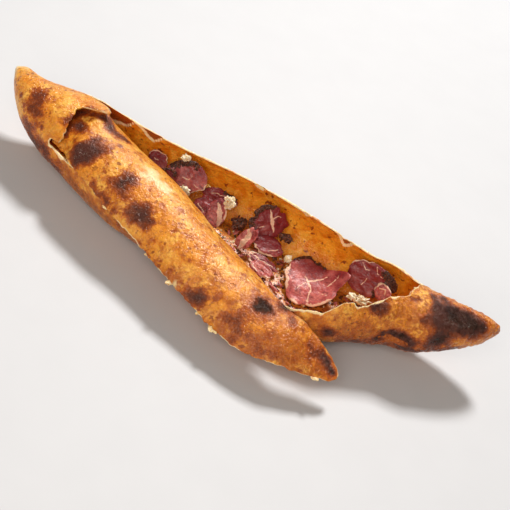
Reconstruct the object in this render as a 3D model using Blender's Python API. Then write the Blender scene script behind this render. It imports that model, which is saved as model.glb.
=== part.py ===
"""Closed pide: a long hollow loaf of flat bread, cut open along its top.

The cut crust is folded aside as a lid that hangs on a short neck at the hood.
Inside lies an oily filling with slices of cured beef and crumbs of fat.
X runs from tip to tip, Y away from the folded lid, Z up. The origin is in the
middle of the flat spot the loaf rests on. The design sizes below are in
millimetres, with y measured from the line through both tips.
"""
import math

import bmesh
import bpy
from mathutils import Vector, noise

MM = 0.001
TIP_LINE = Vector((0.0, 35.0, 0.0))     # the tips lie this far behind the origin

# The loaf, in stations from the left tip to the right tip:
# x, centre line y, half width, lowest z, highest z of the uncut loaf.
LOAF = (
    (-216.0, 0.0, 2.0, 43.0, 47.0),
    (-209.0, -4.0, 10.5, 38.0, 50.0),
    (-200.0, -10.9, 15.5, 32.0, 53.0),
    (-183.0, -17.6, 23.8, 21.0, 56.0),
    (-166.0, -19.5, 30.0, 13.0, 59.0),
    (-150.0, -20.6, 34.5, 8.0, 62.0),
    (-125.0, -25.1, 37.5, 3.0, 65.0),
    (-100.0, -31.0, 41.9, 0.5, 67.0),
    (-60.0, -34.8, 47.9, -1.0, 68.0),
    (0.0, -35.2, 54.1, -1.5, 68.0),
    (60.0, -35.8, 50.5, -1.0, 67.0),
    (100.0, -33.8, 43.7, 0.5, 64.5),
    (125.0, -24.1, 36.9, 3.0, 61.0),
    (146.0, -21.2, 27.5, 7.0, 59.0),
    (166.0, -20.2, 26.0, 14.0, 58.0),
    (180.0, -15.4, 22.1, 20.0, 57.0),
    (193.0, -11.2, 17.5, 26.0, 56.0),
    (206.0, -6.2, 11.4, 33.0, 54.0),
    (213.0, -2.3, 5.0, 38.0, 51.0),
    (216.5, 0.0, 1.5, 43.5, 46.5),
)
X, CENTRE, HALF_WIDTH, LOW, HIGH = range(5)
BELLY_POWER = 0.82          # below 1 squares the underside a little
WALL = 2.6                  # thickness of the baked crust
FLOOR = 3.2                 # top of the dough floor where the loaf rests flat
CRUST_SWELL = 0.7           # height of the soft dents and swellings
SWELL_LENGTH = 24.0
HOLLOW_LEFT = -202.0        # ends of the hollow inside the tips
HOLLOW_RIGHT = 202.0

# The rims of the opening: x and the angle round the section, in degrees from
# the far side (0) over the crown (90) to the near side (180).
FAR_RIM = ((-160.0, 44.0), (-140.0, 38.0), (-100.0, 30.0), (0.0, 28.0),
           (70.0, 30.0), (78.0, 22.0), (86.0, 30.0), (130.0, 38.0), (148.0, 48.0))
NEAR_RIM = ((-152.0, 173.0), (-141.0, 175.0), (-131.0, 177.0), (-118.0, 171.0),
            (-100.0, 172.0), (-50.0, 177.0), (0.0, 180.0), (50.0, 177.0), (75.0, 171.0),
            (88.0, 162.5), (93.0, 164.0), (98.0, 152.5), (105.0, 140.0), (110.0, 138.5),
            (114.0, 143.5), (120.0, 138.5), (131.0, 119.5), (140.0, 112.5), (216.0, 150.0))
# The torn ends of the opening: share of the way from near rim to far rim, and x.
HOOD_EDGE = ((0.0, -152.0), (0.08, -153.0), (0.1, -145.0), (0.17, -143.5), (0.25, -145.0),
             (0.38, -146.0), (0.54, -147.5), (0.62, -143.0), (0.65, -137.0), (0.72, -124.5),
             (0.8, -128.0), (0.83, -133.0), (0.87, -150.0), (0.93, -155.0), (1.0, -160.0))
NOSE_EDGE = ((0.0, 140.0), (0.1, 143.0), (0.2, 142.0), (0.35, 143.5), (0.6, 146.0), (1.0, 148.0))
TOOTH = 1.3                 # raggedness of the torn rims, in mm and degrees
TOOTH_LENGTH = 4.0

HOOD_COLUMNS = 11
OPEN_COLUMNS = 40
NOSE_COLUMNS = 12
OPEN_CROWDING = 1.35        # above 1 crowds the columns towards the nose
TIP_CROWDING = 1.4          # above 1 crowds the columns towards the tips
BELLY_ROWS = 18
CROWN_ROWS = 12

# The lid, an arched strip: x, ridge y, ridge z, radius, and the angles of its
# near and far edges from the vertical (positive towards the near side).
LID = (
    (-153.0, -17.5, 52.5, 38.5, 53.0, -45.0),
    (-140.0, -21.0, 54.5, 38.0, 57.5, -45.0),
    (-130.0, -28.5, 56.0, 45.5, 50.5, -45.0),
    (-120.0, -33.0, 56.0, 46.0, 50.5, -45.0),
    (-100.0, -41.5, 56.0, 45.2, 52.5, -45.0),
    (-80.0, -48.8, 55.5, 44.7, 56.5, -45.0),
    (-60.0, -54.5, 54.0, 45.0, 58.0, -45.0),
    (-25.0, -69.0, 50.5, 43.5, 60.0, -45.0),
    (0.0, -79.5, 47.5, 42.5, 60.0, -44.0),
    (30.0, -89.0, 44.0, 42.5, 61.0, -38.0),
    (55.0, -95.5, 42.0, 40.5, 61.0, -20.0),
    (77.0, -99.5, 41.5, 34.5, 61.0, -15.0),
    (100.0, -98.5, 34.0, 29.5, 54.0, -10.0),
    (113.0, -98.5, 28.5, 26.0, 44.0, -4.0),
    (121.0, -101.0, 23.5, 24.0, 30.0, -2.0),
    (125.0, -103.5, 20.5, 22.0, 8.0, -2.0),
)
RIDGE_Y, RIDGE_Z, RADIUS, NEAR_ANGLE, FAR_ANGLE = range(1, 6)
LID_THICKNESS = 2.2
LID_COLUMNS = 38
LID_ROWS = 10
LID_SWELL = 0.9
# The neck, where the lid rises into the hood's wall.
NECK_RISE = 8.2
NECK_ANGLE = -18.0
NECK_SPREAD = 13.0
NECK_START = -112.0
NECK_END = -136.0

# The filling: height of its ridge along the loaf.
BED = ((-128.0, 8.0), (-90.0, 19.0), (-60.0, 21.0), (-30.0, 17.5), (10.0, 13.5),
       (50.0, 9.5), (80.0, 9.0), (110.0, 12.0), (128.0, 9.0))
BED_EDGE_HEIGHT = 8.0
BED_GAP = 1.0               # to the dough floor
BED_SIDE_GAP = 1.3          # to the curving walls
BED_RIDGE = 0.62            # place of the ridge between near (0) and far (1) wall
BED_BUMP = 1.1
BED_BUMP_LENGTH = 8.0
BED_COLUMNS = 32
BED_ROWS = 10

# Slices of cured beef: centre, half length, half depth, turn about the vertical,
# lean (how steeply the far edge rises), curl of the right end, and outline seed.
SLICES = {
    "beef_slice_small": ((-81.5, -1.0, 32.5), 8.5, 8.0, 0.0, 40.0, 1.5, 3.0),
    "beef_slice_under": ((-66.8, -10.6, 33.2), 7.0, 4.0, 0.0, 54.0, 0.0, 5.0),
    "beef_slice_left": ((-53.5, -3.8, 35.5), 16.0, 13.0, 2.0, 57.0, 1.5, 8.0),
    "beef_slice_flap": ((-31.0, -15.5, 24.5), 9.0, 9.5, 6.0, 33.0, 1.0, 11.0),
    "beef_slice_wing": ((-24.0, 1.5, 28.5), 14.0, 6.5, 10.0, 60.0, 1.0, 14.0),
    "beef_slice_fold": ((-18.8, -18.0, 27.7), 8.5, 11.0, 10.0, 42.0, 4.0, 17.0),
    "beef_slice_standing": ((20.0, 0.0, 30.7), 15.0, 14.5, 22.0, 56.0, -2.5, 20.0),
    "beef_slice_low": ((29.0, -13.0, 20.5), 13.0, 8.0, 12.0, 24.0, 1.0, 23.0),
    "beef_fat_fold": ((12.0, -21.2, 23.2), 7.0, 11.5, -26.0, 48.0, 3.0, 26.0),
    "beef_scrap_dark": ((30.5, -27.5, 15.0), 15.0, 6.0, -6.0, 10.0, 1.0, 29.0),
    "beef_scrap_pink": ((34.0, -38.0, 17.5), 10.5, 6.5, -24.0, 16.0, 1.0, 32.0),
    "beef_slice_large": ((71.5, -25.0, 18.0), 22.5, 21.5, 0.0, 17.0, 9.0, 35.0),
    "beef_slice_right": ((111.0, -6.8, 34.5), 19.5, 14.0, -6.0, 64.0, -2.0, 38.0),
    "beef_slice_curl": ((124.0, -12.0, 33.5), 7.5, 6.5, -10.0, 52.0, 3.5, 41.0),
}
SLICE_THICKNESS = 1.7
SLICE_WAVE = 0.7
SLICE_RINGS = 4
SLICE_SPOKES = 17
# The large slice runs out into a raised flap: its reach as a share of the slice's half size,
# its lift in millimetres, and its angle and spread in radians.
FLAP_SLICE = "beef_slice_large"
FLAP_REACH, FLAP_LIFT, FLAP_ANGLE, FLAP_SPREAD = 0.30, 5.0, 0.62, 0.36

# Rounded lumps: centre and half sizes along x, y and z.
LUMPS = {
    "fat_crumb_large": ((-13.5, -12.5, 39.5), (6.5, 5.0, 5.0)),
    "fat_crumb_left": ((-48.5, -18.0, 33.0), (5.5, 3.5, 3.8)),
    "fat_crumb_top": ((-61.5, -1.0, 49.5), (3.8, 3.0, 3.2)),
    "fat_crumb_middle": ((47.0, -14.0, 19.0), (4.0, 3.4, 3.4)),
    "fat_shreds": ((110.0, -22.5, 25.0), (11.0, 6.0, 5.0)),
    "cheese_blob": ((-36.0, 4.5, 26.0), (7.5, 3.4, 4.0)),
    "spice_lump_middle": ((-1.0, -6.0, 20.0), (6.5, 5.5, 6.0)),
    "spice_lump_right": ((37.0, -1.5, 26.5), (8.0, 3.0, 3.4)),
}
LUMP_ROUGHNESS = 0.22

# Principled materials: base colour, roughness.
MATERIALS = {
    "crust": ((0.60, 0.28, 0.06, 1.0), 0.45),
    "filling": ((0.45, 0.14, 0.03, 1.0), 0.3),
    "beef": ((0.28, 0.05, 0.06, 1.0), 0.35),
    "fat": ((0.82, 0.66, 0.45, 1.0), 0.5),
    "cheese": ((0.80, 0.42, 0.08, 1.0), 0.25),
    "spice": ((0.14, 0.05, 0.03, 1.0), 0.5),
}


def clear_scene():
    for thing in list(bpy.data.objects):
        bpy.data.objects.remove(thing, do_unlink=True)


def make_collection(name):
    collection = bpy.data.collections.new(name)
    bpy.context.scene.collection.children.link(collection)
    return collection


def make_material(name):
    colour, roughness = MATERIALS[name]
    material = bpy.data.materials.new(name)
    material.diffuse_color = colour
    material.use_nodes = True
    shader = material.node_tree.nodes["Principled BSDF"]
    shader.inputs["Base Color"].default_value = colour
    shader.inputs["Roughness"].default_value = roughness
    shader.inputs["Metallic"].default_value = 0.0
    return material


def metres(place):
    """Design place, from the tip line in millimetres, in metres from the origin."""
    return (place + TIP_LINE) * MM


def mix(first, second, share):
    return first + (second - first) * share


def smooth_step(start, end, value):
    share = min(max((value - start) / (end - start), 0.0), 1.0)
    return share * share * (3.0 - 2.0 * share)


def find_span(table, x):
    """Index of the table row that starts the span holding x."""
    for index in range(len(table) - 2):
        if x < table[index + 1][0]:
            return index
    return len(table) - 2


def straight(table, x):
    """Value at x on straight runs between the table's rows."""
    index = find_span(table, x)
    (x0, v0), (x1, v1) = table[index], table[index + 1]
    return mix(v0, v1, min(max((x - x0) / (x1 - x0), 0.0), 1.0))


def slope(table, column, index):
    """Slope of a smooth curve at one row, chosen so that it never overshoots."""
    last = len(table) - 1
    steps = []
    for left in (index - 1, index):
        if 0 <= left < last:
            run = table[left + 1][0] - table[left][0]
            steps.append((table[left + 1][column] - table[left][column]) / run)
    if len(steps) == 1:
        return steps[0]
    if steps[0] * steps[1] <= 0.0:
        return 0.0
    return 2.0 * steps[0] * steps[1] / (steps[0] + steps[1])


def curve(table, x, column):
    """Value of one column at x, on a smooth curve through the table's rows."""
    x = min(max(x, table[0][0]), table[-1][0])
    index = find_span(table, x)
    run = table[index + 1][0] - table[index][0]
    t = (x - table[index][0]) / run
    start = (2 * t**3 - 3 * t**2 + 1) * table[index][column]
    start += (t**3 - 2 * t**2 + t) * run * slope(table, column, index)
    end = (-2 * t**3 + 3 * t**2) * table[index + 1][column]
    end += (t**3 - t**2) * run * slope(table, column, index + 1)
    return start + end


def signed_power(value, power):
    return math.copysign(abs(value) ** power, value)


def loaf_section(x, inset):
    """Centre and half sizes of the loaf's section at x, shrunk by inset."""
    low = curve(LOAF, x, LOW) + inset
    high = curve(LOAF, x, HIGH) - inset
    half_width = curve(LOAF, x, HALF_WIDTH) - inset
    return curve(LOAF, x, CENTRE), (low + high) / 2, half_width, (high - low) / 2


def crust_swell(x, y, z):
    """Soft dents of the outer crust, none where the loaf rests."""
    spot = Vector((x, y, z)) / SWELL_LENGTH
    return CRUST_SWELL * noise.noise(spot) * smooth_step(3.0, 14.0, z)


def loaf_point(x, angle, inset):
    """Point on the loaf's outer skin (inset 0) or on the wall of its hollow."""
    centre_y, centre_z, half_width, half_height = loaf_section(x, inset)
    across = math.cos(math.radians(angle))
    upward = math.sin(math.radians(angle))
    power = BELLY_POWER if upward < 0.0 else 1.0
    y = centre_y + half_width * signed_power(across, power)
    z = centre_z + half_height * signed_power(upward, power)
    if inset:
        return Vector((x, y, max(z, FLOOR)))
    swell = crust_swell(x, y, z)
    return Vector((x, y + swell * across, max(z + swell * upward, 0.0)))


def tooth(place, seed):
    return TOOTH * noise.noise(Vector((place / TOOTH_LENGTH, seed, 0.0)))


class LoafGrid:
    """Places of the loaf's grid: columns run along x, rows go round the section.

    Row 0 is the far rim. Rows go down the far side, under the belly and up to
    the near rim at BELLY_ROWS, then over the crown back to the far rim.
    """
    rows = BELLY_ROWS + CROWN_ROWS
    hood_column = HOOD_COLUMNS
    nose_column = HOOD_COLUMNS + OPEN_COLUMNS
    columns = HOOD_COLUMNS + OPEN_COLUMNS + NOSE_COLUMNS

    def edge_x(self, table, row):
        """x of the torn hood edge or nose edge on one row."""
        far_x, near_x = table[-1][1], table[0][1]
        if row <= BELLY_ROWS:
            return mix(far_x, near_x, row / BELLY_ROWS)
        share = (row - BELLY_ROWS) / CROWN_ROWS
        return straight(table, share) + tooth(share * 90.0, table[0][1])

    def column_x(self, column, row, tips):
        hood_x = self.edge_x(HOOD_EDGE, row)
        nose_x = self.edge_x(NOSE_EDGE, row)
        if column <= self.hood_column:
            return mix(tips[0], hood_x, (column / HOOD_COLUMNS) ** TIP_CROWDING)
        if column <= self.nose_column:
            share = 1.0 - (1.0 - (column - self.hood_column) / OPEN_COLUMNS) ** OPEN_CROWDING
            return mix(hood_x, nose_x, share)
        return mix(tips[1], nose_x, ((self.columns - column) / NOSE_COLUMNS) ** TIP_CROWDING)

    def rim_angle(self, table, x, seed):
        inside = table[0][0] < x < table[-1][0]
        return straight(table, x) + (tooth(x, seed) if inside else 0.0)

    def angle(self, column, row, tips):
        far = self.rim_angle(FAR_RIM, self.column_x(column, 0, tips), 1.0)
        near = self.rim_angle(NEAR_RIM, self.column_x(column, BELLY_ROWS, tips), 2.0)
        if row <= BELLY_ROWS:
            return mix(far, near - 360.0, row / BELLY_ROWS)
        return mix(near, far, (row - BELLY_ROWS) / CROWN_ROWS)

    def is_open(self, column, row):
        """Whether the quad that starts here lies in the opening."""
        return row >= BELLY_ROWS and self.hood_column <= column < self.nose_column


def add_skin(mesh, grid, inset, tips):
    """One skin of the loaf, with the opening left out; returns its vertices."""
    made = {}

    def vertex(column, row):
        pole = column in (0, grid.columns)
        key = (column, 0 if pole else row % grid.rows)
        if key not in made:
            x = grid.column_x(column, key[1], tips)
            if pole:
                centre_y, centre_z, _, _ = loaf_section(x, inset)
                place = Vector((x, centre_y, centre_z))
            else:
                place = loaf_point(x, grid.angle(column, key[1], tips), inset)
            made[key] = mesh.verts.new(metres(place))
        return made[key]

    for column in range(grid.columns):
        for row in range(grid.rows):
            if grid.is_open(column, row):
                continue
            corners = [vertex(column, row), vertex(column + 1, row),
                       vertex(column + 1, row + 1), vertex(column, row + 1)]
            distinct = list(dict.fromkeys(corners))
            mesh.faces.new(distinct if inset else distinct[::-1])
    return made


def join_rims(mesh, outer, inner):
    """Faces across the wall's thickness, all round the opening."""
    partner = {vertex: inner[key] for key, vertex in outer.items()}
    for edge in [edge for edge in mesh.edges if edge.is_boundary]:
        first, second = edge.verts
        if first in partner and second in partner:
            mesh.faces.new((first, second, partner[second], partner[first]))


def new_object(name, mesh, material, collection):
    bmesh.ops.recalc_face_normals(mesh, faces=mesh.faces)
    data = bpy.data.meshes.new(name)
    mesh.to_mesh(data)
    mesh.free()
    data.materials.append(material)
    data.shade_smooth()
    data.set_sharp_from_angle(angle=math.radians(40.0))
    thing = bpy.data.objects.new(name, data)
    collection.objects.link(thing)
    return thing


def build_loaf(collection, material):
    mesh = bmesh.new()
    grid = LoafGrid()
    outer = add_skin(mesh, grid, 0.0, (LOAF[0][X], LOAF[-1][X]))
    inner = add_skin(mesh, grid, WALL, (HOLLOW_LEFT, HOLLOW_RIGHT))
    join_rims(mesh, outer, inner)
    bmesh.ops.triangulate(mesh, faces=mesh.faces)
    return new_object("bread_crust", mesh, material, collection)


def lid_point(x, share, depth):
    """Point of the lid at x, share of the way from near to far edge."""
    radius = curve(LID, x, RADIUS)
    near = curve(LID, x, NEAR_ANGLE) + tooth(x, 5.0)
    far = curve(LID, x, FAR_ANGLE) + tooth(x, 6.0)
    degrees = mix(near, far, share)
    angle = math.radians(degrees)
    centre_y = curve(LID, x, RIDGE_Y)
    centre_z = curve(LID, x, RIDGE_Z) - radius
    spot = Vector((x, centre_y - radius * math.sin(angle), 80.0)) / SWELL_LENGTH
    reach = radius - depth + LID_SWELL * noise.noise(spot)
    height = centre_z + reach * math.cos(angle)
    near_neck = math.exp(-((degrees - NECK_ANGLE) / NECK_SPREAD) ** 2)
    height += NECK_RISE * near_neck * smooth_step(-NECK_START, -NECK_END, -x)
    return Vector((x, centre_y - reach * math.sin(angle), height))


def sheet_solid(mesh, rows, columns, place):
    """Closed solid between two skins of a rows by columns sheet.

    place(row, column, side) gives a point of the upper (0) or lower (1) skin.
    """
    skins = []
    for side in (0, 1):
        skins.append([[mesh.verts.new(metres(place(row, column, side)))
                       for column in range(columns + 1)] for row in range(rows + 1)])
    for grid in skins:
        for row in range(rows):
            for column in range(columns):
                mesh.faces.new((grid[row][column], grid[row + 1][column],
                                grid[row + 1][column + 1], grid[row][column + 1]))
    rim = [(0, column) for column in range(columns)]
    rim += [(row, columns) for row in range(rows)]
    rim += [(rows, column) for column in range(columns, 0, -1)]
    rim += [(row, 0) for row in range(rows, 0, -1)]
    for index, (row, column) in enumerate(rim):
        next_row, next_column = rim[(index + 1) % len(rim)]
        mesh.faces.new((skins[0][row][column], skins[0][next_row][next_column],
                        skins[1][next_row][next_column], skins[1][row][column]))
    bmesh.ops.triangulate(mesh, faces=mesh.faces)


def build_lid(collection, material):
    mesh = bmesh.new()

    def place(row, column, side):
        share = column / LID_ROWS
        start = LID[0][X] + 12.0 * smooth_step(0.7, 1.0, share)
        x = mix(start, LID[-1][X], row / LID_COLUMNS)
        return lid_point(x, share, side * LID_THICKNESS)

    sheet_solid(mesh, LID_COLUMNS, LID_ROWS, place)
    return new_object("lid", mesh, material, collection)


def join_lid(loaf, lid):
    """Grow the lid's neck into the hood's wall, as one piece of bread."""
    union = loaf.modifiers.new("lid neck", "BOOLEAN")
    union.operation = "UNION"
    union.solver = "EXACT"
    union.object = lid
    joined = bpy.data.meshes.new_from_object(
        loaf.evaluated_get(bpy.context.evaluated_depsgraph_get()))
    loaf.modifiers.remove(union)
    loaf.data = joined
    bpy.data.objects.remove(lid, do_unlink=True)


def hollow_height(x, y, side_gap):
    """Height of the hollow's floor under (x, y)."""
    centre_y, centre_z, half_width, half_height = loaf_section(x, WALL)
    across = min(abs(y - centre_y) / (half_width - side_gap), 1.0)
    upward = math.sqrt(1.0 - across ** (2.0 / BELLY_POWER))
    return max(centre_z - half_height * upward ** BELLY_POWER, FLOOR) + BED_GAP


def bed_half_width(x):
    """Half width of the filling, out to where it meets the walls."""
    _, centre_z, half_width, half_height = loaf_section(x, WALL)
    upward = ((centre_z - BED_EDGE_HEIGHT) / half_height) ** (1.0 / BELLY_POWER)
    across = math.sqrt(max(1.0 - upward**2, 0.0)) ** BELLY_POWER
    return (half_width - BED_SIDE_GAP) * across


def bed_top(x, share):
    """Height of the filling's surface, share of the way from near to far wall."""
    half = BED_RIDGE if share < BED_RIDGE else 1.0 - BED_RIDGE
    fall = ((share - BED_RIDGE) / half) ** 2
    rise = curve(BED, x, 1) - BED_EDGE_HEIGHT
    edge_fade = min(share, 1.0 - share, 0.15) / 0.15
    bump = BED_BUMP * noise.noise(Vector((x, share * 80.0, 30.0)) / BED_BUMP_LENGTH)
    return BED_EDGE_HEIGHT + rise * (1.0 - fall) + bump * edge_fade


def build_bed(collection, material):
    mesh = bmesh.new()

    def place(row, column, side):
        x = mix(BED[0][0], BED[-1][0], row / BED_COLUMNS)
        share = column / BED_ROWS
        y = curve(LOAF, x, CENTRE) + bed_half_width(x) * (2.0 * share - 1.0)
        below = hollow_height(x, y, BED_SIDE_GAP)
        if side:
            return Vector((x, y, below))
        return Vector((x, y, max(bed_top(x, share), below + 1.0)))

    sheet_solid(mesh, BED_COLUMNS, BED_ROWS, place)
    return new_object("filling_bed", mesh, material, collection)


def slice_outline(angle, seed):
    """Uneven round outline, as a share of the slice's half size."""
    wobble = 0.07 * math.sin(2.0 * angle + seed) + 0.05 * math.sin(3.0 * angle + 2.0 * seed)
    return 1.0 + wobble + 0.03 * math.sin(5.0 * angle + 3.0 * seed)


def flap_share(name, angle):
    """How far the slice's edge belongs to its flap at that angle, 0 to 1."""
    if name != FLAP_SLICE:
        return 0.0
    return math.exp(-((angle - FLAP_ANGLE) / FLAP_SPREAD) ** 2)


def build_slice(name, size, collection, material):
    centre, half_length, half_depth, turn, lean, curl, seed = size
    turn, lean = math.radians(turn), math.radians(lean)
    along = Vector((math.cos(turn), math.sin(turn), 0.0))
    rising = Vector((-math.sin(turn) * math.cos(lean), math.cos(turn) * math.cos(lean),
                     math.sin(lean)))
    facing = along.cross(rising)

    def place(ring, spoke, side):
        angle = math.tau * spoke / SLICE_SPOKES
        share, flap = ring / SLICE_RINGS, flap_share(name, angle)
        reach = slice_outline(angle, seed) * share * (1.0 + FLAP_REACH * flap)
        u, v = math.cos(angle) * reach, math.sin(angle) * reach
        lift = curl * max(u, 0.0) ** 2 + FLAP_LIFT * flap * share**2
        lift += SLICE_WAVE * noise.noise(Vector((2.2 * u, 2.2 * v, seed)))
        lift -= side * SLICE_THICKNESS
        return (Vector(centre) + along * (u * half_length) + rising * (v * half_depth)
                + facing * lift)

    mesh = bmesh.new()
    skins = []
    for side in (0, 1):
        middle = mesh.verts.new(metres(place(0, 0, side)))
        rings = [[mesh.verts.new(metres(place(ring, spoke, side)))
                  for spoke in range(SLICE_SPOKES)] for ring in range(1, SLICE_RINGS + 1)]
        skins.append(rings)
        for spoke in range(SLICE_SPOKES):
            after = (spoke + 1) % SLICE_SPOKES
            mesh.faces.new((middle, rings[0][spoke], rings[0][after]))
            for lower, upper in zip(rings, rings[1:]):
                mesh.faces.new((lower[spoke], upper[spoke], upper[after]))
                mesh.faces.new((lower[spoke], upper[after], lower[after]))
    for spoke in range(SLICE_SPOKES):
        after = (spoke + 1) % SLICE_SPOKES
        top, bottom = skins[0][-1], skins[1][-1]
        mesh.faces.new((top[spoke], bottom[spoke], bottom[after], top[after]))
    bmesh.ops.triangulate(mesh, faces=mesh.faces)
    return new_object(name, mesh, material, collection)


def build_lump(name, size, collection, material):
    centre, half_sizes = size
    mesh = bmesh.new()
    bmesh.ops.create_icosphere(mesh, subdivisions=2, radius=1.0)
    for vertex in mesh.verts:
        spot = vertex.co * 1.6 + Vector(centre)
        reach = 1.0 + LUMP_ROUGHNESS * noise.noise(spot)
        place = Vector([axis * half * reach for axis, half in zip(vertex.co, half_sizes)])
        vertex.co = metres(Vector(centre) + place)
    return new_object(name, mesh, material, collection)


def lump_material(name):
    for kind in ("cheese", "spice"):
        if name.startswith(kind):
            return kind
    return "fat"


def main():
    clear_scene()
    collection = make_collection("closed_pide")
    materials = {name: make_material(name) for name in MATERIALS}
    loaf = build_loaf(collection, materials["crust"])
    lid = build_lid(collection, materials["crust"])
    join_lid(loaf, lid)
    build_bed(collection, materials["filling"])
    for name, size in SLICES.items():
        build_slice(name, size, collection, materials["beef"])
    for name, size in LUMPS.items():
        build_lump(name, size, collection, materials[lump_material(name)])


main()
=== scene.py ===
"""Looks of a closed pide: a boat-shaped flatbread, cut open, with its lid folded aside.

The forms repeat the part's own stations at a finer mesh. Sizes are in millimetres
with y measured from the line through both tips, like the part's design sizes, and
turn into metres from the part's origin in to_metres().
"""
import math
import random

import bmesh
import bpy
from mathutils import Euler, Matrix, Vector, kdtree, noise


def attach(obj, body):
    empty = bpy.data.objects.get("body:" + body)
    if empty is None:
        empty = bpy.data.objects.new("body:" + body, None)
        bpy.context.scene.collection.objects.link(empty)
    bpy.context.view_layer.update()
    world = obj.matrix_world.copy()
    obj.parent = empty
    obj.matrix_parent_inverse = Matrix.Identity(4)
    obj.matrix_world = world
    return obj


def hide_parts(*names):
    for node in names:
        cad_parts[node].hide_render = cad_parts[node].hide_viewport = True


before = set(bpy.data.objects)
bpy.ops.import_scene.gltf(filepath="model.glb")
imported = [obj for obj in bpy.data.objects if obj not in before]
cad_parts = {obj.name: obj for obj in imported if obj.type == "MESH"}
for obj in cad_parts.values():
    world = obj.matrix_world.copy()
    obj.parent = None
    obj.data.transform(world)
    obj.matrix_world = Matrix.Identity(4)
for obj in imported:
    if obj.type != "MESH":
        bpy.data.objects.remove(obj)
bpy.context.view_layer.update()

MM = 0.001
TIP_LINE = Vector((0.0, 35.0, 0.0))

# ---- the form
LOAF = (
    (-216, 0, 2, 43, 47),
    (-209, -4, 10.5, 38, 50),
    (-200, -10.9, 15.5, 32, 53),
    (-183, -17.6, 23.8, 21, 56),
    (-166, -19.5, 30, 13, 59),
    (-150, -20.6, 34.5, 8, 62),
    (-125, -25.1, 37.5, 3, 65),
    (-100, -31, 41.9, 0.5, 67),
    (-60, -34.8, 47.9, -1, 68),
    (0, -35.2, 54.1, -1.5, 68),
    (60, -35.8, 50.5, -1, 67),
    (100, -33.8, 43.7, 0.5, 64.5),
    (125, -24.1, 36.9, 3, 61),
    (146, -21.2, 27.5, 7, 59),
    (166, -20.2, 26, 14, 58),
    (180, -15.4, 22.1, 20, 57),
    (193, -11.2, 17.5, 26, 56),
    (206, -6.2, 11.4, 33, 54),
    (213, -2.3, 5, 38, 51),
    (216.5, 0, 1.5, 43.5, 46.5),
)
X, CENTRE, HALF_WIDTH, LOW, HIGH = range(5)
BELLY_POWER = 0.82
WALL = 2.6
RIM_WALL = 1.2              # thickness of the torn edge itself
FLOOR = 3.2
CRUST_SWELL = 0.7
SWELL_LENGTH = 24.0
HOLLOW_LEFT, HOLLOW_RIGHT = -202.0, 202.0

FAR_RIM = ((-160, 44), (-140, 38), (-100, 30), (0, 28),
           (70, 30), (78, 22), (86, 30), (130, 38), (148, 48))
NEAR_RIM = ((-152, 173), (-141, 175), (-131, 177), (-118, 171),
            (-100, 172), (-50, 177), (0, 180), (50, 177), (75, 171),
            (88, 162.5), (93, 164), (98, 152.5), (105, 140), (110, 138.5),
            (114, 143.5), (120, 138.5), (131, 119.5), (140, 112.5), (216, 150))
HOOD_EDGE = ((0, -152), (0.08, -153), (0.1, -145), (0.17, -143.5), (0.25, -145),
             (0.38, -146), (0.54, -147.5), (0.62, -143), (0.65, -137), (0.72, -124.5),
             (0.8, -128), (0.83, -133), (0.87, -150), (0.93, -155), (1, -160))
NOSE_EDGE = ((0, 140), (0.1, 143), (0.2, 142), (0.35, 143.5), (0.6, 146), (1, 148))
OPEN_CROWDING = 1.35
TIP_CROWDING = 1.4
HOOD_COLUMNS, OPEN_COLUMNS, NOSE_COLUMNS = 52, 196, 84
NOSE_COLUMN = HOOD_COLUMNS + OPEN_COLUMNS
LOAF_COLUMNS = NOSE_COLUMN + NOSE_COLUMNS
BELLY_ROWS, CROWN_ROWS = 84, 60
LOAF_ROWS = BELLY_ROWS + CROWN_ROWS
FAR_WALL_ROWS = 0.4 * BELLY_ROWS    # the rows that show as the far wall
ROW_CROWDING = 0.11         # how far the belly's rows gather at the rims

LID = (
    (-153, -17.5, 52.5, 38.5, 53, -45),
    (-140, -21, 54.5, 38, 57.5, -45),
    (-130, -28.5, 56, 45.5, 50.5, -45),
    (-120, -33, 56, 46, 50.5, -45),
    (-100, -41.5, 56, 45.2, 52.5, -45),
    (-80, -48.8, 55.5, 44.7, 56.5, -45),
    (-60, -54.5, 54, 45, 58, -45),
    (-25, -69, 50.5, 43.5, 60, -45),
    (0, -79.5, 47.5, 42.5, 60, -44),
    (30, -89, 44, 42.5, 61, -38),
    (55, -95.5, 42, 40.5, 61, -20),
    (77, -99.5, 41.5, 34.5, 61, -15),
    (100, -98.5, 34, 29.5, 54, -10),
    (113, -98.5, 28.5, 26, 44, -4),
    (121, -101, 23.5, 24, 30, -2),
    (125, -103.5, 20.5, 22, 8, -2),
)
RIDGE_Y, RIDGE_Z, RADIUS, NEAR_ANGLE, FAR_ANGLE = range(1, 6)
LID_THICKNESS = 1.9
LID_COLUMNS, LID_ROWS = 210, 66
LID_SWELL = 0.9
NECK_RISE = 8.2
NECK_ANGLE = -18.0
NECK_SPREAD = 13.0
NECK_START, NECK_END = -112.0, -136.0

BED = ((-128, 8), (-90, 19), (-60, 21), (-30, 17.5), (10, 13.5),
       (50, 9.5), (80, 9), (110, 12), (128, 9))
BED_EDGE_HEIGHT = 8.0
BED_GAP = 0.5
BED_SIDE_GAP = 0.6
BED_LEAST = 0.6             # its least thickness
BED_RIDGE = 0.62
BED_BUMP = 1.1
BED_BUMP_LENGTH = 8.0
BED_COLUMNS, BED_ROWS = 170, 56

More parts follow.
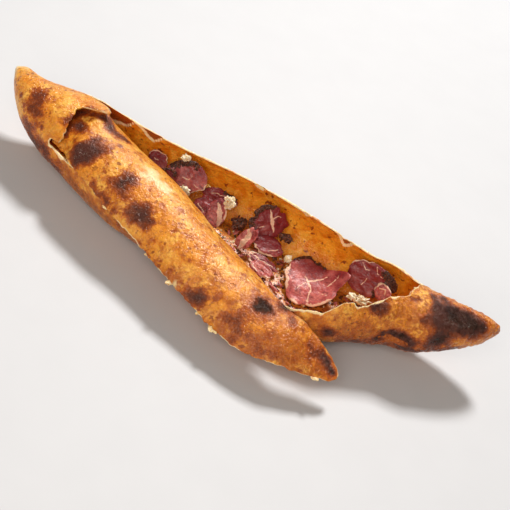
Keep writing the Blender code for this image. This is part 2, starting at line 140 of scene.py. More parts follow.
# Per slice: its place (centre, half length, half depth, turn, lean, curl, seed), its tone (0
# pink, 1 dark), veins and rims. A vein is a line in the slice's own plane (u along, v up the
# lean, both -1 to 1, and its width in mm); a rim runs from one angle to another in degrees,
# with its width as a share of the radius, and is fat or spice.
SLICES = {
    "beef_slice_small": (
        ((-81.5, -1, 32.5), 8.5, 8, 0, 40, 1.5, 3), 0.75,
        (((-0.4, 0.1, 0.5), (0.0, 0.05, 0.4)),), ((10, 175, 0.10, "fat"),)),
    "beef_slice_under": (
        ((-66.8, -10.6, 33.2), 7, 4, 0, 54, 0, 5), 0.8,
        (), ((20, 160, 0.2, "spice"),)),
    "beef_slice_left": (
        ((-53.5, -3.8, 35.5), 16, 13, 2, 57, 1.5, 8), 0.5,
        (((-0.22, -0.19, 0.5), (0.03, -0.18, 0.9), (0.14, -0.05, 0.6), (0.25, 0.12, 0.4)),
         ((0.44, -0.25, 0.4), (0.7, -0.38, 0.5))),
        ((62, 178, 0.34, "spice"), (-70, 10, 0.05, "fat"))),
    "beef_slice_flap": (
        ((-31, -15.5, 24.5), 9, 9.5, 6, 33, 1, 11), 0.7,
        (((-0.5, 0.1, 0.5), (0.3, -0.3, 0.7)),), ()),
    "beef_slice_wing": (
        ((-24, 1.5, 28.5), 14, 6.5, 10, 60, 1, 14), 0.8,
        (((-0.6, 0.1, 0.4), (0.5, 0.3, 0.4)),), ((20, 80, 0.3, "spice"),)),
    "beef_slice_fold": (
        ((-18.8, -18, 27.7), 8.5, 11, 10, 42, 4, 17), 0.25,
        (((-0.1, 0.7, 2.0), (0.3, 0.2, 4.4), (0.5, -0.3, 4.4), (0.6, -0.8, 2.2)),),
        ((-20, 60, 0.15, "fat"),)),
    "beef_slice_standing": (
        ((20, 0, 30.7), 15, 14.5, 22, 56, -2.5, 20), 0.92,
        (((-0.12, 0.72, 0.6), (0.02, 0.42, 1.6), (0.12, 0.12, 2.8), (0.24, -0.12, 2.0),
          (0.38, -0.42, 0.7)),
         ((0.16, 0.22, 1.0), (0.36, 0.42, 0.7), (0.55, 0.4, 0.4)),
         ((-0.5, -0.42, 0.3), (-0.2, -0.28, 0.5))),
        ((82, 215, 0.26, "spice"),)),
    "beef_slice_low": (
        ((29, -13, 20.5), 13, 8, 12, 24, 1, 23), 0.95,
        (((0.1, -0.5, 0.4), (0.4, -0.3, 0.6), (0.6, 0.0, 0.3)),), ((190, 300, 0.12, "fat"),)),
    "beef_fat_fold": (
        ((12, -21.2, 23.2), 7, 11.5, -26, 48, 3, 26), 0.1,
        (((-0.6, 0.5, 2.4), (-0.1, 0.2, 4.8), (0.1, -0.4, 5.2), (0.2, -0.9, 3.0)),), ()),
    "beef_scrap_dark": (
        ((30.5, -27.5, 15), 15, 6, -6, 10, 1, 29), 0.8,
        (((-0.8, 0.4, 0.7), (-0.2, 0.0, 1.1), (0.5, 0.3, 0.7), (0.9, 0.1, 0.4)),),
        ((100, 260, 0.2, "fat"),)),
    "beef_scrap_pink": (
        ((34, -38, 17.5), 10.5, 6.5, -24, 16, 1, 32), 0.0,
        (((-0.9, -0.5, 0.9), (0.0, -0.6, 0.6)),), ((300, 360, 0.15, "fat"),)),
    "beef_slice_large": (
        ((71.5, -25, 18), 22.5, 21.5, 0, 17, 9, 35), 0.36,
        (((-0.25, 0.13, 0.8), (-0.09, 0.02, 1.2), (0.12, 0.16, 1.1), (0.42, 0.45, 0.5)),
         ((-0.09, 0.02, 0.9), (0.13, -0.26, 1.1), (0.2, -0.52, 1.2), (0.25, -0.79, 1.0),
          (0.32, -0.98, 1.2)),
         ((-0.12, -0.05, 0.4), (-0.2, -0.31, 0.4), (-0.32, -0.55, 0.3)),
         ((0.78, 0.6, 0.4), (0.71, 0.4, 0.8), (0.62, 0.1, 0.5)),
         ((0.45, -0.25, 0.3), (0.75, -0.3, 0.4))),
        ((158, 232, 0.12, "fat"), (70, 150, 0.10, "spice"), (-75, -20, 0.09, "fat"),
         (-112, -85, 0.12, "fat"))),
    "beef_slice_right": (
        ((111, -6.8, 34.5), 19.5, 14, -6, 64, -2, 38), 0.92,
        (((-0.62, 0.6, 0.3), (-0.35, 0.35, 0.5), (-0.2, 0.5, 0.3)),
         ((0.0, 0.8, 0.3), (0.15, 0.5, 0.5), (0.4, 0.45, 0.3)),
         ((-0.1, 0.0, 0.3), (-0.2, -0.5, 0.5))),
        ((-60, 72, 0.38, "spice"), (100, 170, 0.05, "fat"))),
    "beef_slice_curl": (
        ((124, -12, 33.5), 7.5, 6.5, -10, 52, 3.5, 41), 0.15,
        (((-0.4, 0.2, 0.9), (0.1, 0.4, 1.1), (0.35, -0.1, 0.8)),), ((30, 200, 0.18, "fat"),)),
}
SLICE_THICKNESS = 1.7
SLICE_WAVE = 0.7
SLICE_ROUNDING = 0.55
SLICE_RINGS, SLICE_SPOKES = 26, 96
# The large slice runs out into a raised flap at its far right.
FLAP_SLICE = "beef_slice_large"
FLAP_REACH, FLAP_LIFT, FLAP_ANGLE, FLAP_SPREAD = 0.30, 5.0, 0.62, 0.36
SHRED_THICKNESS = 0.7

LUMPS = {
    "fat_crumb_large": ((-13.5, -12.5, 39.5), (6.5, 5, 5)),
    "fat_crumb_left": ((-48.5, -18, 33), (5.5, 3.5, 3.8)),
    "fat_crumb_top": ((-60.5, -0.6, 47.8), (4.8, 3.4, 3.4)),
    "fat_crumb_middle": ((47, -14, 19), (4, 3.4, 3.4)),
    "fat_shreds": ((110, -22.5, 25), (11, 6, 5)),
    "cheese_blob": ((-36, 4.5, 26), (7.5, 3.4, 4)),
    "spice_lump_middle": ((-1, -6, 20), (6.5, 5.5, 6)),
    "spice_lump_right": ((37, -1.5, 26.5), (8, 3, 3.4)),
}

# Oven marks on the crust, by darkness (over 1: black): x, y, z from the part's origin, radius. The run of
# them along the hood's torn edge is painted shade of the gap under that edge, not an oven mark.
MARKS = {
    0.35: ((-80, 6, 50.6, 3.1), (-35.3, -28.8, 51.5, 3.7), (-21, -44.8, 49, 3.7), (-178, 18, 57, 2.4),
        (0, -39, 47, 2.2)),
    0.4: ((-88, 7, 51.5, 3.1), (162.6, 0, 54, 2.2), (187, 2, 39, 3.4), (112, -32, 43, 2.2),
        (-161, 1, 57, 2.3), (103, -39, 40, 2.2), (-64, -27, 53, 2.2), (-49, -33, 52, 2.2),
        (-30, -48, 47, 2.2), (-11, -50, 47, 2.2), (15, -46, 45, 2.2), (40, -59, 43, 2.9),
        (-8, -63, 43, 2.2)),
    0.45: ((160, -4.8, 51, 3.2), (-169, 6, 57, 2.4), (4, -63, 43, 2.9)),
    0.5: ((-101.4, -23, 52.8, 1.9), (-25.6, -61.3, 41, 2.2), (-11, -22.4, 44.8, 3.7),
        (-1, -51.7, 46.6, 2.9), (92, -85, 29.3, 3.6), (80, -67.5, 41.2, 4.3), (29, -49.5, 43.6, 3.6),
        (-167, -12, 44, 3.1), (150, -7.8, 48.3, 2.2), (124, -25, 37.6, 3.7), (95, -44, 31, 2.2),
        (146, 3, 57, 2.3), (-187, -2, 45, 2.4), (-163, -13, 44, 2.3), (-61, -42, 14, 3.0),
        (-39, -63, 34, 2.2), (-18, -71, 34, 2.2), (41, -79, 37, 3.6), (68, -83, 36, 3.6),
        (102, -78, 29, 3.6), (-106, -10, 55, 2.3), (-76, -41, 47, 2.2), (-51, -53, 41, 2.9),
        (-93, -34, 49, 2.3)),
    0.55: ((161, -4, 51, 3.4), (-141, 10, 62, 3.1), (-6, -77, 31, 2.9), (79, -90, 29, 4.3),
        (150, 6, 58, 3.0)),
    0.6: ((-102, -1, 55, 3.1), (-100.6, -29, 49.7, 2.3), (-88.4, -14.7, 55.8, 1.9),
        (-135.5, -12, 48.4, 1.9), (-40, -59, 38.5, 2.6), (-104.4, -39.6, 39.9, 3.8),
        (-45.6, -25, 52.5, 1.5), (21.4, -76.4, 37, 3.6), (68, -91.7, 28.6, 5.0), (-164, -14.7, 36, 3.1),
        (-194, 5, 46.6, 2.4), (-177.5, -9, 35.7, 3.2), (121.6, 41, 44.2, 2.3), (132.5, 38, 45.8, 2.3),
        (116, -31, 22, 4.5), (124, -23, 18, 3.8), (130, -21, 21, 3.0), (-147, 13, 54, 4.7),
        (-147, -2, 57, 3.9), (-181, -7, 39, 3.2), (-172, -12, 40, 3.1), (-152, -20, 32, 3.1),
        (-138, -23, 29, 3.1), (-72, -44, 23, 3.0), (-28, -68, 33, 2.9), (58, -90, 30, 4.3),
        (44, -93, 23, 3.6), (99, -86, 24, 2.9), (-127, -20, 49, 5.4), (-126, -26, 45, 4.6),
        (76, -62, 42, 2.9), (97, -70, 35, 3.6)),
    0.65: ((-56.6, -41, 48.7, 5.2), (-87, -46.5, 39, 3.7), (35, -85, 31, 5.0)),
    0.7: ((-136, 13, 62, 3.1), (-49, -61, 32.5, 2.6), (-96.4, -43.5, 38.6, 4.5), (-79.7, -51, 36.7, 3.0),
        (11, -79, 33, 5.8), (45, -86.7, 32, 7.1), (-167, -12.6, 27, 3.9), (-150, -6.3, 56, 3.1),
        (143.5, 37.4, 40.7, 3.1), (-162, -15, 30, 3.9), (-154, -15, 20, 3.9), (1, -80, 29, 3.6),
        (-137, 15, 58, 2.4), (-130, 13, 60, 2.7), (104, -73, 31, 3.6), (-135, -19, 16, 5.0),
        (-168, -14, 22, 7.0), (-182, -8, 30, 6.0), (177, -4, 40, 4.5)),
    0.75: ((-129, 16, 60, 3.5), (169, 0, 53, 5.3), (-173, -11, 32, 3.9), (-156, -18, 32, 4.0)),
    0.8: ((-124, 21, 55, 3.1), (-120, 10, 56, 3.9), (-82, -26.5, 53.5, 5.3), (-56.6, -49, 43.8, 5.2),
        (-48.4, -48.6, 45.2, 4.4), (9, -81.3, 29.7, 5.8), (103.7, -40.4, 25.8, 3.7), (171, -8, 35, 3.8),
        # The marks from (-144, -9, 45) at the end of this line to (-143, 14, 56) below paint the shade in
        # the gap under the hood's torn edge.
        (163, -9, 24, 3.0), (155, -12, 24, 3.8), (173, -4, 46, 4.5), (-144, -9, 45, 2.7),
        (-146, -5, 48, 2.7), (-148, 1, 50, 2.9), (-148, 7, 52, 2.9), (-147, 12, 54, 2.6),
        (-143, 14, 56, 2.6), (-125, 15, 58, 3.0), (-120, 15, 56, 3.0), (-141, 1, 53, 4.0),
        (-150, -19, 25, 5.0), (-142, -19, 21, 5.0), (173, -5, 26, 3.4), (183, 2, 28, 3.4),
        (192, 7, 33, 3.1)),
    0.85: ((-124.5, -26, 45, 6.9), (-176, -4, 49.7, 6.3), (192, 10, 50, 4.6), (124, -18, 51, 5.2)),
    0.9: ((-104, 13, 51.5, 4.2), (-137, -2, 52.5, 5.0), (-182, 8, 55, 7.1), (167, 10, 58, 4.5),
        (162, -12, 35, 3.8), (108, -38, 27, 3.0)),
    0.95: ((-112.5, 12, 54, 5.5), (-120, -21, 50, 6.9), (-64, -46, 45, 7.0), (129, -12.6, 52.5, 5.9),
        (175, 7, 56, 5.3), (182, 10, 55, 6.1)),
    1.0: ((107.5, -66.5, 30.4, 4.3), (165, 10, 58, 4.5), (201.7, 20, 53, 4.6), (140, -16, 30, 3.8),
        (158, -11, 25, 2.3), (151, -12, 24, 1.9), (159, 17, 58, 3.8)),
    1.05: ((-118, -12, 54, 8.0), (-83, -35, 49.5, 7.8), (173, 3, 54, 6.0), (146, -14, 35.3, 3.8)),
    1.1: ((68, -47.6, 36.8, 5.1), (167, 22.6, 57, 4.6), (137, -17, 25, 3.8), (102, -42, 28, 4.1),
        (139, -17, 32, 2.3), (145, -15, 34, 2.3), (151, -13, 34, 2.3), (158, -13, 34, 2.3),
        (161, -12, 31, 2.3)),
    1.15: ((113.6, -69, 27, 5.1), (119.2, -70.4, 23.7, 3.6), (185.7, 9, 53, 7.6), (154, -12.7, 36.4, 3.8)),
    1.2: ((198, 15.5, 51.6, 6.9),),
    1.25: ((176, 13, 57, 6.8), (190.7, 18.7, 55.6, 7.6), (178.4, -3, 41, 6.4), (69, -53, 40, 5.6)),
    1.35: ((54, -66, 41.6, 9.0),),
}
# The burst blister on the near side of the right tip: the line of its slit.
SLIT = ((138, -16, 27), (142, -15, 29), (147, -14, 30), (153, -13, 30), (158, -12, 30))
# Nubs of crumb on the lid's near edge: x and size.
NUBS = ((-86, 1.5), (-40, 1.2), (-14, 2.6), (15, 1.4), (29, 2.7), (33, 1.9), (111, 2.2))
# Places where the crust is blistered pale: x, y, z and radius.
PALE = ((-69, -12, 55, 9.0), (-58, -16.5, 53, 8.0), (-10, -77, 29, 2.9), (-213, 35, 45, 6.5))
# Where the crust is darker than golden, partly baked browner and partly painted shade on the low sides
# that turn away from the light: the heights over which its low part fades out, and the x over which its
# right part fades in.
LOAF_BROWNING_AND_SHADE = (16.0, 54.0, 125.0, 185.0)
LID_BROWNING_AND_SHADE = (16.0, 40.0, -60.0, 140.0)
# Height of the torn inner layer of the far wall; above it only the outer crust stands.
PEEL = ((-160, 70.0), (-131, 36.0), (-117, 41.0), (-110, 50.5), (-107, 51.0), (-102, 47.5),
        (-97, 42.5), (-92, 40.5), (-87, 45.5), (-82, 52.0), (-8, 56.0), (-3, 48.0), (3, 46.5),
        (11, 53.0), (37, 53.0), (43, 46.0), (49, 52.0), (69, 54.0), (74, 46.0), (80, 38.5),
        (86, 47.0), (92, 56.0), (150, 60.0))


def to_metres(place):
    return (place + TIP_LINE) * MM


def mix(first, second, share):
    return first + (second - first) * share


def smooth_step(start, end, value):
    share = min(max((value - start) / (end - start), 0.0), 1.0)
    return share * share * (3.0 - 2.0 * share)


def find_span(table, x):
    for index in range(len(table) - 2):
        if x < table[index + 1][0]:
            return index
    return len(table) - 2


def straight(table, x):
    """The table's value at x, on straight lines between its points."""
    index = find_span(table, x)
    (x0, v0), (x1, v1) = table[index], table[index + 1]
    return mix(v0, v1, min(max((x - x0) / (x1 - x0), 0.0), 1.0))


def slope(table, column, index):
    last = len(table) - 1
    steps = []
    for left in (index - 1, index):
        if 0 <= left < last:
            run = table[left + 1][0] - table[left][0]
            steps.append((table[left + 1][column] - table[left][column]) / run)
    if len(steps) == 1:
        return steps[0]
    if steps[0] * steps[1] <= 0.0:
        return 0.0
    return 2.0 * steps[0] * steps[1] / (steps[0] + steps[1])


def curve(table, x, column):
    """A column's value at x, on a smooth curve that doesn't overshoot its stations."""
    x = min(max(x, table[0][0]), table[-1][0])
    index = find_span(table, x)
    run = table[index + 1][0] - table[index][0]
    t = (x - table[index][0]) / run
    start = (2 * t**3 - 3 * t**2 + 1) * table[index][column]
    start += (t**3 - 2 * t**2 + t) * run * slope(table, column, index)
    end = (-2 * t**3 + 3 * t**2) * table[index + 1][column]
    end += (t**3 - t**2) * run * slope(table, column, index + 1)
    return start + end


def signed_power(value, power):
    return math.copysign(abs(value) ** power, value)


def wave(x, y, z):
    """Soft noise at those three numbers, about -1 to 1."""
    return noise.noise(Vector((x, y, z)))


def ripple(place, length, seed, octaves=3):
    """Fractal noise of that length in millimetres, about -1 to 1."""
    total, weight = 0.0, 1.0
    for octave in range(octaves):
        spot = place * (2.0**octave / length) + Vector((seed, 1.7 * seed, -seed))
        total += weight * noise.noise(spot)
        weight *= 0.5
    return total


# ---- mesh building
def add_object(name, data):
    thing = bpy.data.objects.new(name, data)
    bpy.context.scene.collection.objects.link(thing)
    return thing


def add_mesh(name, points, faces, material, coats=None, smooth=True):
    """A mesh of points in metres; coats are its vertex values by name."""
    data = bpy.data.meshes.new(name)
    data.from_pydata([tuple(point) for point in points], [], faces)
    for key, values in (coats or {}).items():
        data.attributes.new(key, "FLOAT", "POINT").data.foreach_set("value", values)
    data.validate()
    data.materials.append(material)
    if smooth:
        data.shade_smooth()
    return add_object(name, data)


def add_piece(name, points, faces, material, slot, *nodes, **looks):
    """A mesh of points in millimetres that rides on the part's body."""
    thing = add_mesh(name, [to_metres(point) for point in points], faces, material, **looks)
    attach(thing, "root")
    if nodes:
        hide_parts(*nodes)


def shell_faces(rings, count):
    """Faces of a closed shell: the outer rings, the same on the inner skin, and the rim."""
    faces = []
    for ring in rings:
        ring = list(dict.fromkeys(ring))
        faces += [ring, [index + count for index in reversed(ring)]]
    edges = dict.fromkeys(edge for face in faces if face[0] < count
                          for edge in zip(face, face[1:] + face[:1]))
    return faces + [[end, start, start + count, end + count]
                    for start, end in edges if (end, start) not in edges]


def sheet_mesh(columns, rows, place):
    """Points and faces of a closed sheet; place(column, row, side) gives each point."""
    points = [place(column, row, side) for side in (0, 1)
              for column in range(columns + 1) for row in range(rows + 1)]

    def index(column, row):
        return column * (rows + 1) + row

    rings = [[index(column, row), index(column, row + 1),
              index(column + 1, row + 1), index(column + 1, row)]
             for column in range(columns) for row in range(rows)]
    return points, shell_faces(rings, len(points) // 2)


def search_tree(numbered):
    """A tree that finds near places; numbered holds pairs of a number and a place."""
    tree = kdtree.KDTree(len(numbered))
    for number, place in numbered:
        tree.insert(place, number)
    tree.balance()
    return tree


# ---- the crust's coats
def scattered_marks():
    """More oven marks, over the back and the underside of the loaf."""
    draw = random.Random(5)
    marks = []
    for _ in range(90):
        x, angle = draw.uniform(-200.0, 205.0), draw.uniform(-150.0, 30.0)
        place = loaf_point(x, angle, 0.0) + TIP_LINE
        radius = draw.uniform(1.6, 6.5)
        marks.append((*place, radius, draw.uniform(0.4, 0.75) + 0.05 * radius))
    for x in range(112, 190, 11):
        marks.append((*(loaf_point(x, -152.0, 0.0) + TIP_LINE), 5.0, 0.75))
    return marks


def oven_marks(spots):
    """Darkness and blackness of every spot, from the marks near it."""
    marks = [(*mark, darkness) for darkness, group in MARKS.items() for mark in group]
    marks += scattered_marks()
    tree = search_tree([(index, mark[:3]) for index, mark in enumerate(marks)])
    dark, black = [], []
    for spot in spots:
        warp = Vector((ripple(spot, 9.0, 3.0, 2), ripple(spot, 9.0, 13.0, 2), 0.0))
        shade = burn = 0.0
        for _, index, distance in tree.find_range(spot + warp * 2.2, 22.0):
            radius, strength = marks[index][3:]
            reach = distance / radius
            shade += strength * math.exp(-0.75 * reach**2)
            burn += 1.5 * max(strength - 0.88, 0.0) * math.exp(-1.3 * reach**2)
        dark.append(shade)
        black.append(burn)
    return dark, black


def browned_and_shaded(spots, lowest, highest, start, end):
    """How much darker than golden the crust is: low down, and towards the right. This is partly baked
    browning and partly painted shade on the low sides.
    """
    values = []
    for spot in spots:
        low = 1.0 - smooth_step(lowest, highest, spot.z + 9.0 * ripple(spot, 30.0, 15.0, 2))
        right = 0.75 * smooth_step(start, end, spot.x - 0.4 * (spot.y - 10.0))
        values.append(min(max(low, right) + 0.3 * ripple(spot, 24.0, 17.0, 2), 1.0))
    return values


def pale_marks(spots):
    """How pale every spot is, from the places where the crust is blistered."""
    values = []
    for spot in spots:
        wobble = 0.8 * ripple(spot, 7.0, 9.0)
        values.append(max(
            1.0 - smooth_step(0.4, 1.25, (spot - Vector(place)).length / radius + wobble)
            for *place, radius in PALE))
    return values


def crust_coats(outer, browning_and_shade, cut, coarse, torn=None, slit=None):
    """Vertex values for the crust's material: of the outer skin, then of the inside."""
    spots = [to_metres(point) / MM for point in outer]
    dark, black = oven_marks(spots)
    none = [0.0] * len(outer)
    return {
        "dark": dark + none,
        "black": black + none,
        # brown: darker low down and towards the right, partly baked browning and partly painted shade
        "brown": browned_and_shaded(spots, *browning_and_shade) + none,
        "pale": pale_marks(spots) + none,
        "cut": cut,
        "inside": none + [1.0] * len(outer),
        "torn": none + (torn or none),
        "coarse": coarse + none,
        "slit": (slit or none) + none,
    }


# ---- the loaf
def loaf_section(x, inset):
    """Centre and half sizes of the loaf's cross-section at x."""
    low = curve(LOAF, x, LOW) + inset
    high = curve(LOAF, x, HIGH) - inset
    half_width = curve(LOAF, x, HALF_WIDTH) - inset
    return curve(LOAF, x, CENTRE), (low + high) / 2, half_width, (high - low) / 2


def loaf_point(x, angle, inset, lift=0.0):
    centre_y, centre_z, half_width, half_height = loaf_section(x, inset)
    across = math.cos(math.radians(angle))
    upward = math.sin(math.radians(angle))
    power = BELLY_POWER if upward < 0.0 else 1.0
    y = centre_y + half_width * signed_power(across, power)
    z = centre_z + half_height * signed_power(upward, power)
    if inset:
        return Vector((x, y + lift * across, max(z + lift * upward, FLOOR)))
    swell = CRUST_SWELL * noise.noise(Vector((x, y, z)) / SWELL_LENGTH)
    swell = (swell + lift) * smooth_step(3.0, 14.0, z)
    return Vector((x, y + swell * across, max(z + swell * upward, 0.0)))


def tooth(place, seed):
    """Raggedness of a torn edge, from soft waves down to small nicks."""
    return 1.8 * wave(place / 5.0, seed, 0.0) + 0.9 * wave(place / 1.6, seed, 7.0)


# The loaf's grid: rows run down the belly from the far rim to the near one and back over
# the crown; columns run from tip to tip, and all rows meet in one point at each tip.
def grid_key(column, row):
    return (column, 0 if column in (0, LOAF_COLUMNS) else row % LOAF_ROWS)


def grid_keys():
    """Every place of the grid that carries crust."""
    keys = [grid_key(column, row) for column in range(LOAF_COLUMNS + 1)
            for row in range(LOAF_ROWS)
            if row <= BELLY_ROWS or not HOOD_COLUMNS < column < NOSE_COLUMN]
    return list(dict.fromkeys(keys))


def belly_share(row):
    share = row / BELLY_ROWS
    return share - ROW_CROWDING * math.sin(math.tau * share)


def edge_x(table, row):
    """Where the hood's or the nose's edge crosses a row."""
    if row <= BELLY_ROWS:
        return mix(table[-1][1], table[0][1], belly_share(row))
    share = (row - BELLY_ROWS) / CROWN_ROWS
    return straight(table, share) + tooth(share * 90.0, table[0][1])


def column_x(column, row, tips):
    hood_x, nose_x = edge_x(HOOD_EDGE, row), edge_x(NOSE_EDGE, row)
    if column <= HOOD_COLUMNS:
        return mix(tips[0], hood_x, (column / HOOD_COLUMNS) ** TIP_CROWDING)
    if column <= NOSE_COLUMN:
        share = 1.0 - (1.0 - (column - HOOD_COLUMNS) / OPEN_COLUMNS) ** OPEN_CROWDING
        return mix(hood_x, nose_x, share)
    return mix(tips[1], nose_x, ((LOAF_COLUMNS - column) / NOSE_COLUMNS) ** TIP_CROWDING)


def rim_angle(table, x, seed):
    inside = table[0][0] < x < table[-1][0]
    return straight(table, x) + (tooth(x, seed) if inside else 0.0)


def grid_angle(column, row, tips):
    far = rim_angle(FAR_RIM, column_x(column, 0, tips), 1.0)
    near = rim_angle(NEAR_RIM, column_x(column, BELLY_ROWS, tips), 2.0)
    if row <= BELLY_ROWS:
        return mix(far, near - 360.0, belly_share(row))
    return mix(near, far, (row - BELLY_ROWS) / CROWN_ROWS)


def grid_point(key, tips, inset, relief):
    """A point of a skin; relief(base) is how far it stands out of the plain form."""
    column, row = key
    x = column_x(column, row, tips)
    if column in (0, LOAF_COLUMNS):
        return Vector((x, *loaf_section(x, inset)[:2]))
    angle = grid_angle(column, row, tips)
    return loaf_point(x, angle, inset, relief(loaf_point(x, angle, inset)))


def on_rim(column, row):
    if not HOOD_COLUMNS <= column <= NOSE_COLUMN:
        return False
    across = row > BELLY_ROWS and column in (HOOD_COLUMNS, NOSE_COLUMN)
    return across or row in (0, BELLY_ROWS)


def rim_cream(column, row, x):
    """How pale the torn edge is there: white crumb, or baked brown."""
    if row == 0:
        return 1.0
    if row == BELLY_ROWS:
        return 0.55 if -112.0 < x < 50.0 else 1.9
    if column == HOOD_COLUMNS:
        return 0.9 if row > BELLY_ROWS + 0.8 * CROWN_ROWS else 0.4
    return 0.75


def slit_gap(here):
    """Distance from a point of the tip line's frame to the burst blister's slit."""
    place, best = here + TIP_LINE, 99.0
    if place.x < SLIT[0][0] - 8.0 or place.z > 50.0:
        return best
    for start, end in zip(SLIT, SLIT[1:]):
        run = Vector(end) - Vector(start)
        share = min(max((place - Vector(start)).dot(run) / run.length_squared, 0.0), 1.0)
        best = min(best, (place - Vector(start) - run * share).length)
    return best


def crust_relief(here):
    """Fine unevenness of the outer crust."""
    tip = smooth_step(95.0, 140.0, here.x)
    tip *= 0.6 * ripple(here, 5.5, 25.0, 1) + 0.8 * ripple(here, 3.0, 27.0, 1)
    gap = slit_gap(here)
    burst = 0.8 * math.exp(-((gap - 3.0) / 1.1) ** 2) - 1.7 * (1.0 - smooth_step(0.5, 2.0, gap))
    return 0.42 * ripple(here, 11.0, 2.0, 2) + 0.2 * ripple(here, 2.8, 5.0, 2) + tip + burst


def over_peel(point):
    """How far a point of the far wall lies above its torn inner layer."""
    return point.z - straight(PEEL, point.x) + 1.2 * ripple(point, 5.0, 8.0, 2)


def hollow_point(key, gap):
    """A point of the hollow's wall, which thins towards the rim at that distance."""
    def relief(base):
        bump = 0.5 * ripple(base, 14.0, 6.0, 2) * smooth_step(0.0, 8.0, gap)
        if key[1] < FAR_WALL_ROWS:
            bump += 0.75 * smooth_step(-0.4, 0.8, over_peel(base))
        return bump

    inset = mix(RIM_WALL, WALL, smooth_step(0.0, 9.0, gap))
    return grid_point(key, (HOLLOW_LEFT, HOLLOW_RIGHT), inset, relief)


def loaf_faces(keys):
    index_of = {key: index for index, key in enumerate(keys)}
    rings = []
    for column in range(LOAF_COLUMNS):
        for row in range(LOAF_ROWS):
            if row >= BELLY_ROWS and HOOD_COLUMNS <= column < NOSE_COLUMN:
                continue
            corners = ((column, row + 1), (column + 1, row + 1), (column + 1, row), (column, row))
            rings.append([index_of[grid_key(*corner)] for corner in corners])
    return shell_faces(rings, len(keys))


def torn_edge(point, gap, cream):
    """How much pale crumb shows at a point, from its distance to the rim."""
    reach = (1.2 + 2.4 * ripple(point, 9.0, 4.0, 3)) * max(cream, 1.0)
    cream = min(cream + 0.9 * ripple(point, 13.0, 14.0, 2), 1.0)
    return (1.0 - smooth_step(0.25, max(reach, 0.45), gap)) * max(cream, 0.25)


def build_loaf(material):
    keys = grid_keys()
    outer = [grid_point(key, (LOAF[0][X], LOAF[-1][X]), 0.0, crust_relief) for key in keys]
    rim = search_tree([(index, outer[index]) for index, key in enumerate(keys) if on_rim(*key)])
    nearest = [rim.find(point) for point in outer]
    gaps = [gap for _, _, gap in nearest]
    creams = [rim_cream(*keys[index], place.x) for place, index, _ in nearest]
    inner = [hollow_point(key, gap) for key, gap in zip(keys, gaps)]
    cut = [torn_edge(*each) for each in zip(outer + inner, gaps * 2, creams * 2)]
    torn = [0.0] * len(inner)
    for index, point in enumerate(inner):
        if keys[index][1] >= FAR_WALL_ROWS:
            continue
        above = over_peel(point)
        torn[index] = smooth_step(0.0, 1.2, above)
        width = 1.9 + 1.5 * ripple(point, 8.0, 24.0, 2)
        line = 1.0 - smooth_step(0.5 * width, width + 0.4, abs(above))
        cut[len(keys) + index] = max(cut[len(keys) + index], line)
    coarse = [smooth_step(85.0, 140.0, point.x) for point in outer]
    slit = [1.0 - smooth_step(0.8, 2.0, slit_gap(point)) for point in outer]
    coats = crust_coats(outer, LOAF_BROWNING_AND_SHADE, cut, coarse, torn, slit)
    add_piece("crust_loaf", outer + inner, loaf_faces(keys), material, "crust", "bread_crust",
              coats=coats)


# ---- the lid
def lid_place(x, share, depth, lift=0.0):
    """A point of the lid: share runs from its near edge to its far one."""
    radius = curve(LID, x, RADIUS)
    near = curve(LID, x, NEAR_ANGLE) + tooth(x, 5.0)
    far = curve(LID, x, FAR_ANGLE) + tooth(x, 6.0)
    degrees = mix(near, far, share)
    angle = math.radians(degrees)
    centre_y = curve(LID, x, RIDGE_Y)
    centre_z = curve(LID, x, RIDGE_Z) - radius
    spot = Vector((x, centre_y - radius * math.sin(angle), 80.0)) / SWELL_LENGTH
    reach = radius - depth + LID_SWELL * noise.noise(spot) + lift
    height = centre_z + reach * math.cos(angle)
    near_neck = math.exp(-((degrees - NECK_ANGLE) / NECK_SPREAD) ** 2)
    height += NECK_RISE * near_neck * smooth_step(-NECK_START, -NECK_END, -x)
    return Vector((x, centre_y - reach * math.sin(angle), height))


def lid_cut(skin, column, row):
    """How much pale crumb shows at a point of the lid's skin, near its edges."""
    def at(some_column, some_row):
        return skin[some_column * (LID_ROWS + 1) + some_row]

    here = at(column, row)
    edges = (at(0, row), at(LID_COLUMNS, row), at(column, 0), at(column, LID_ROWS))
    gap = min((here - edge).length for edge in edges)
    reach = 0.5 + 0.5 * ripple(here, 7.0, 3.0, 2)
    pale = smooth_step(-0.15, 0.3, ripple(here, 12.0, 19.0, 2))
    return (1.0 - smooth_step(0.1, max(reach, 0.3), gap)) * pale


def build_lid(material):
    def place(column, row, side):
        along, share = column / LID_COLUMNS, row / LID_ROWS
        start = LID[0][X] + 12.0 * smooth_step(0.7, 1.0, share)
        x = mix(start, LID[-1][X], along ** 0.97)
        base = lid_place(x, share, 0.0)
        if side:
            edge = min(share, 1.0 - share, along, 1.0 - along)
            depth = mix(1.0, LID_THICKNESS, smooth_step(0.0, 0.08, edge))
            return lid_place(x, share, depth, 0.4 * ripple(base, 9.0, 4.0, 2))
        blister = 1.0 - smooth_step(3.0, 11.0, (base + TIP_LINE - Vector(PALE[0][:3])).length)
        lift = crust_relief(base) + 0.9 * blister * abs(ripple(base, 5.0, 12.0, 2))
        return lid_place(x, share, 0.0, lift)

    points, faces = sheet_mesh(LID_COLUMNS, LID_ROWS, place)
    outer = points[:len(points) // 2]
    cut = [lid_cut(outer, column, row)
           for column in range(LID_COLUMNS + 1) for row in range(LID_ROWS + 1)]
    coarse = [0.6 * smooth_step(20.0, 105.0, point.x) for point in outer]
    coats = crust_coats(outer, LID_BROWNING_AND_SHADE, cut * 2, coarse)
    add_piece("crust_lid", points, faces, material, "crust", "bread_crust", coats=coats)


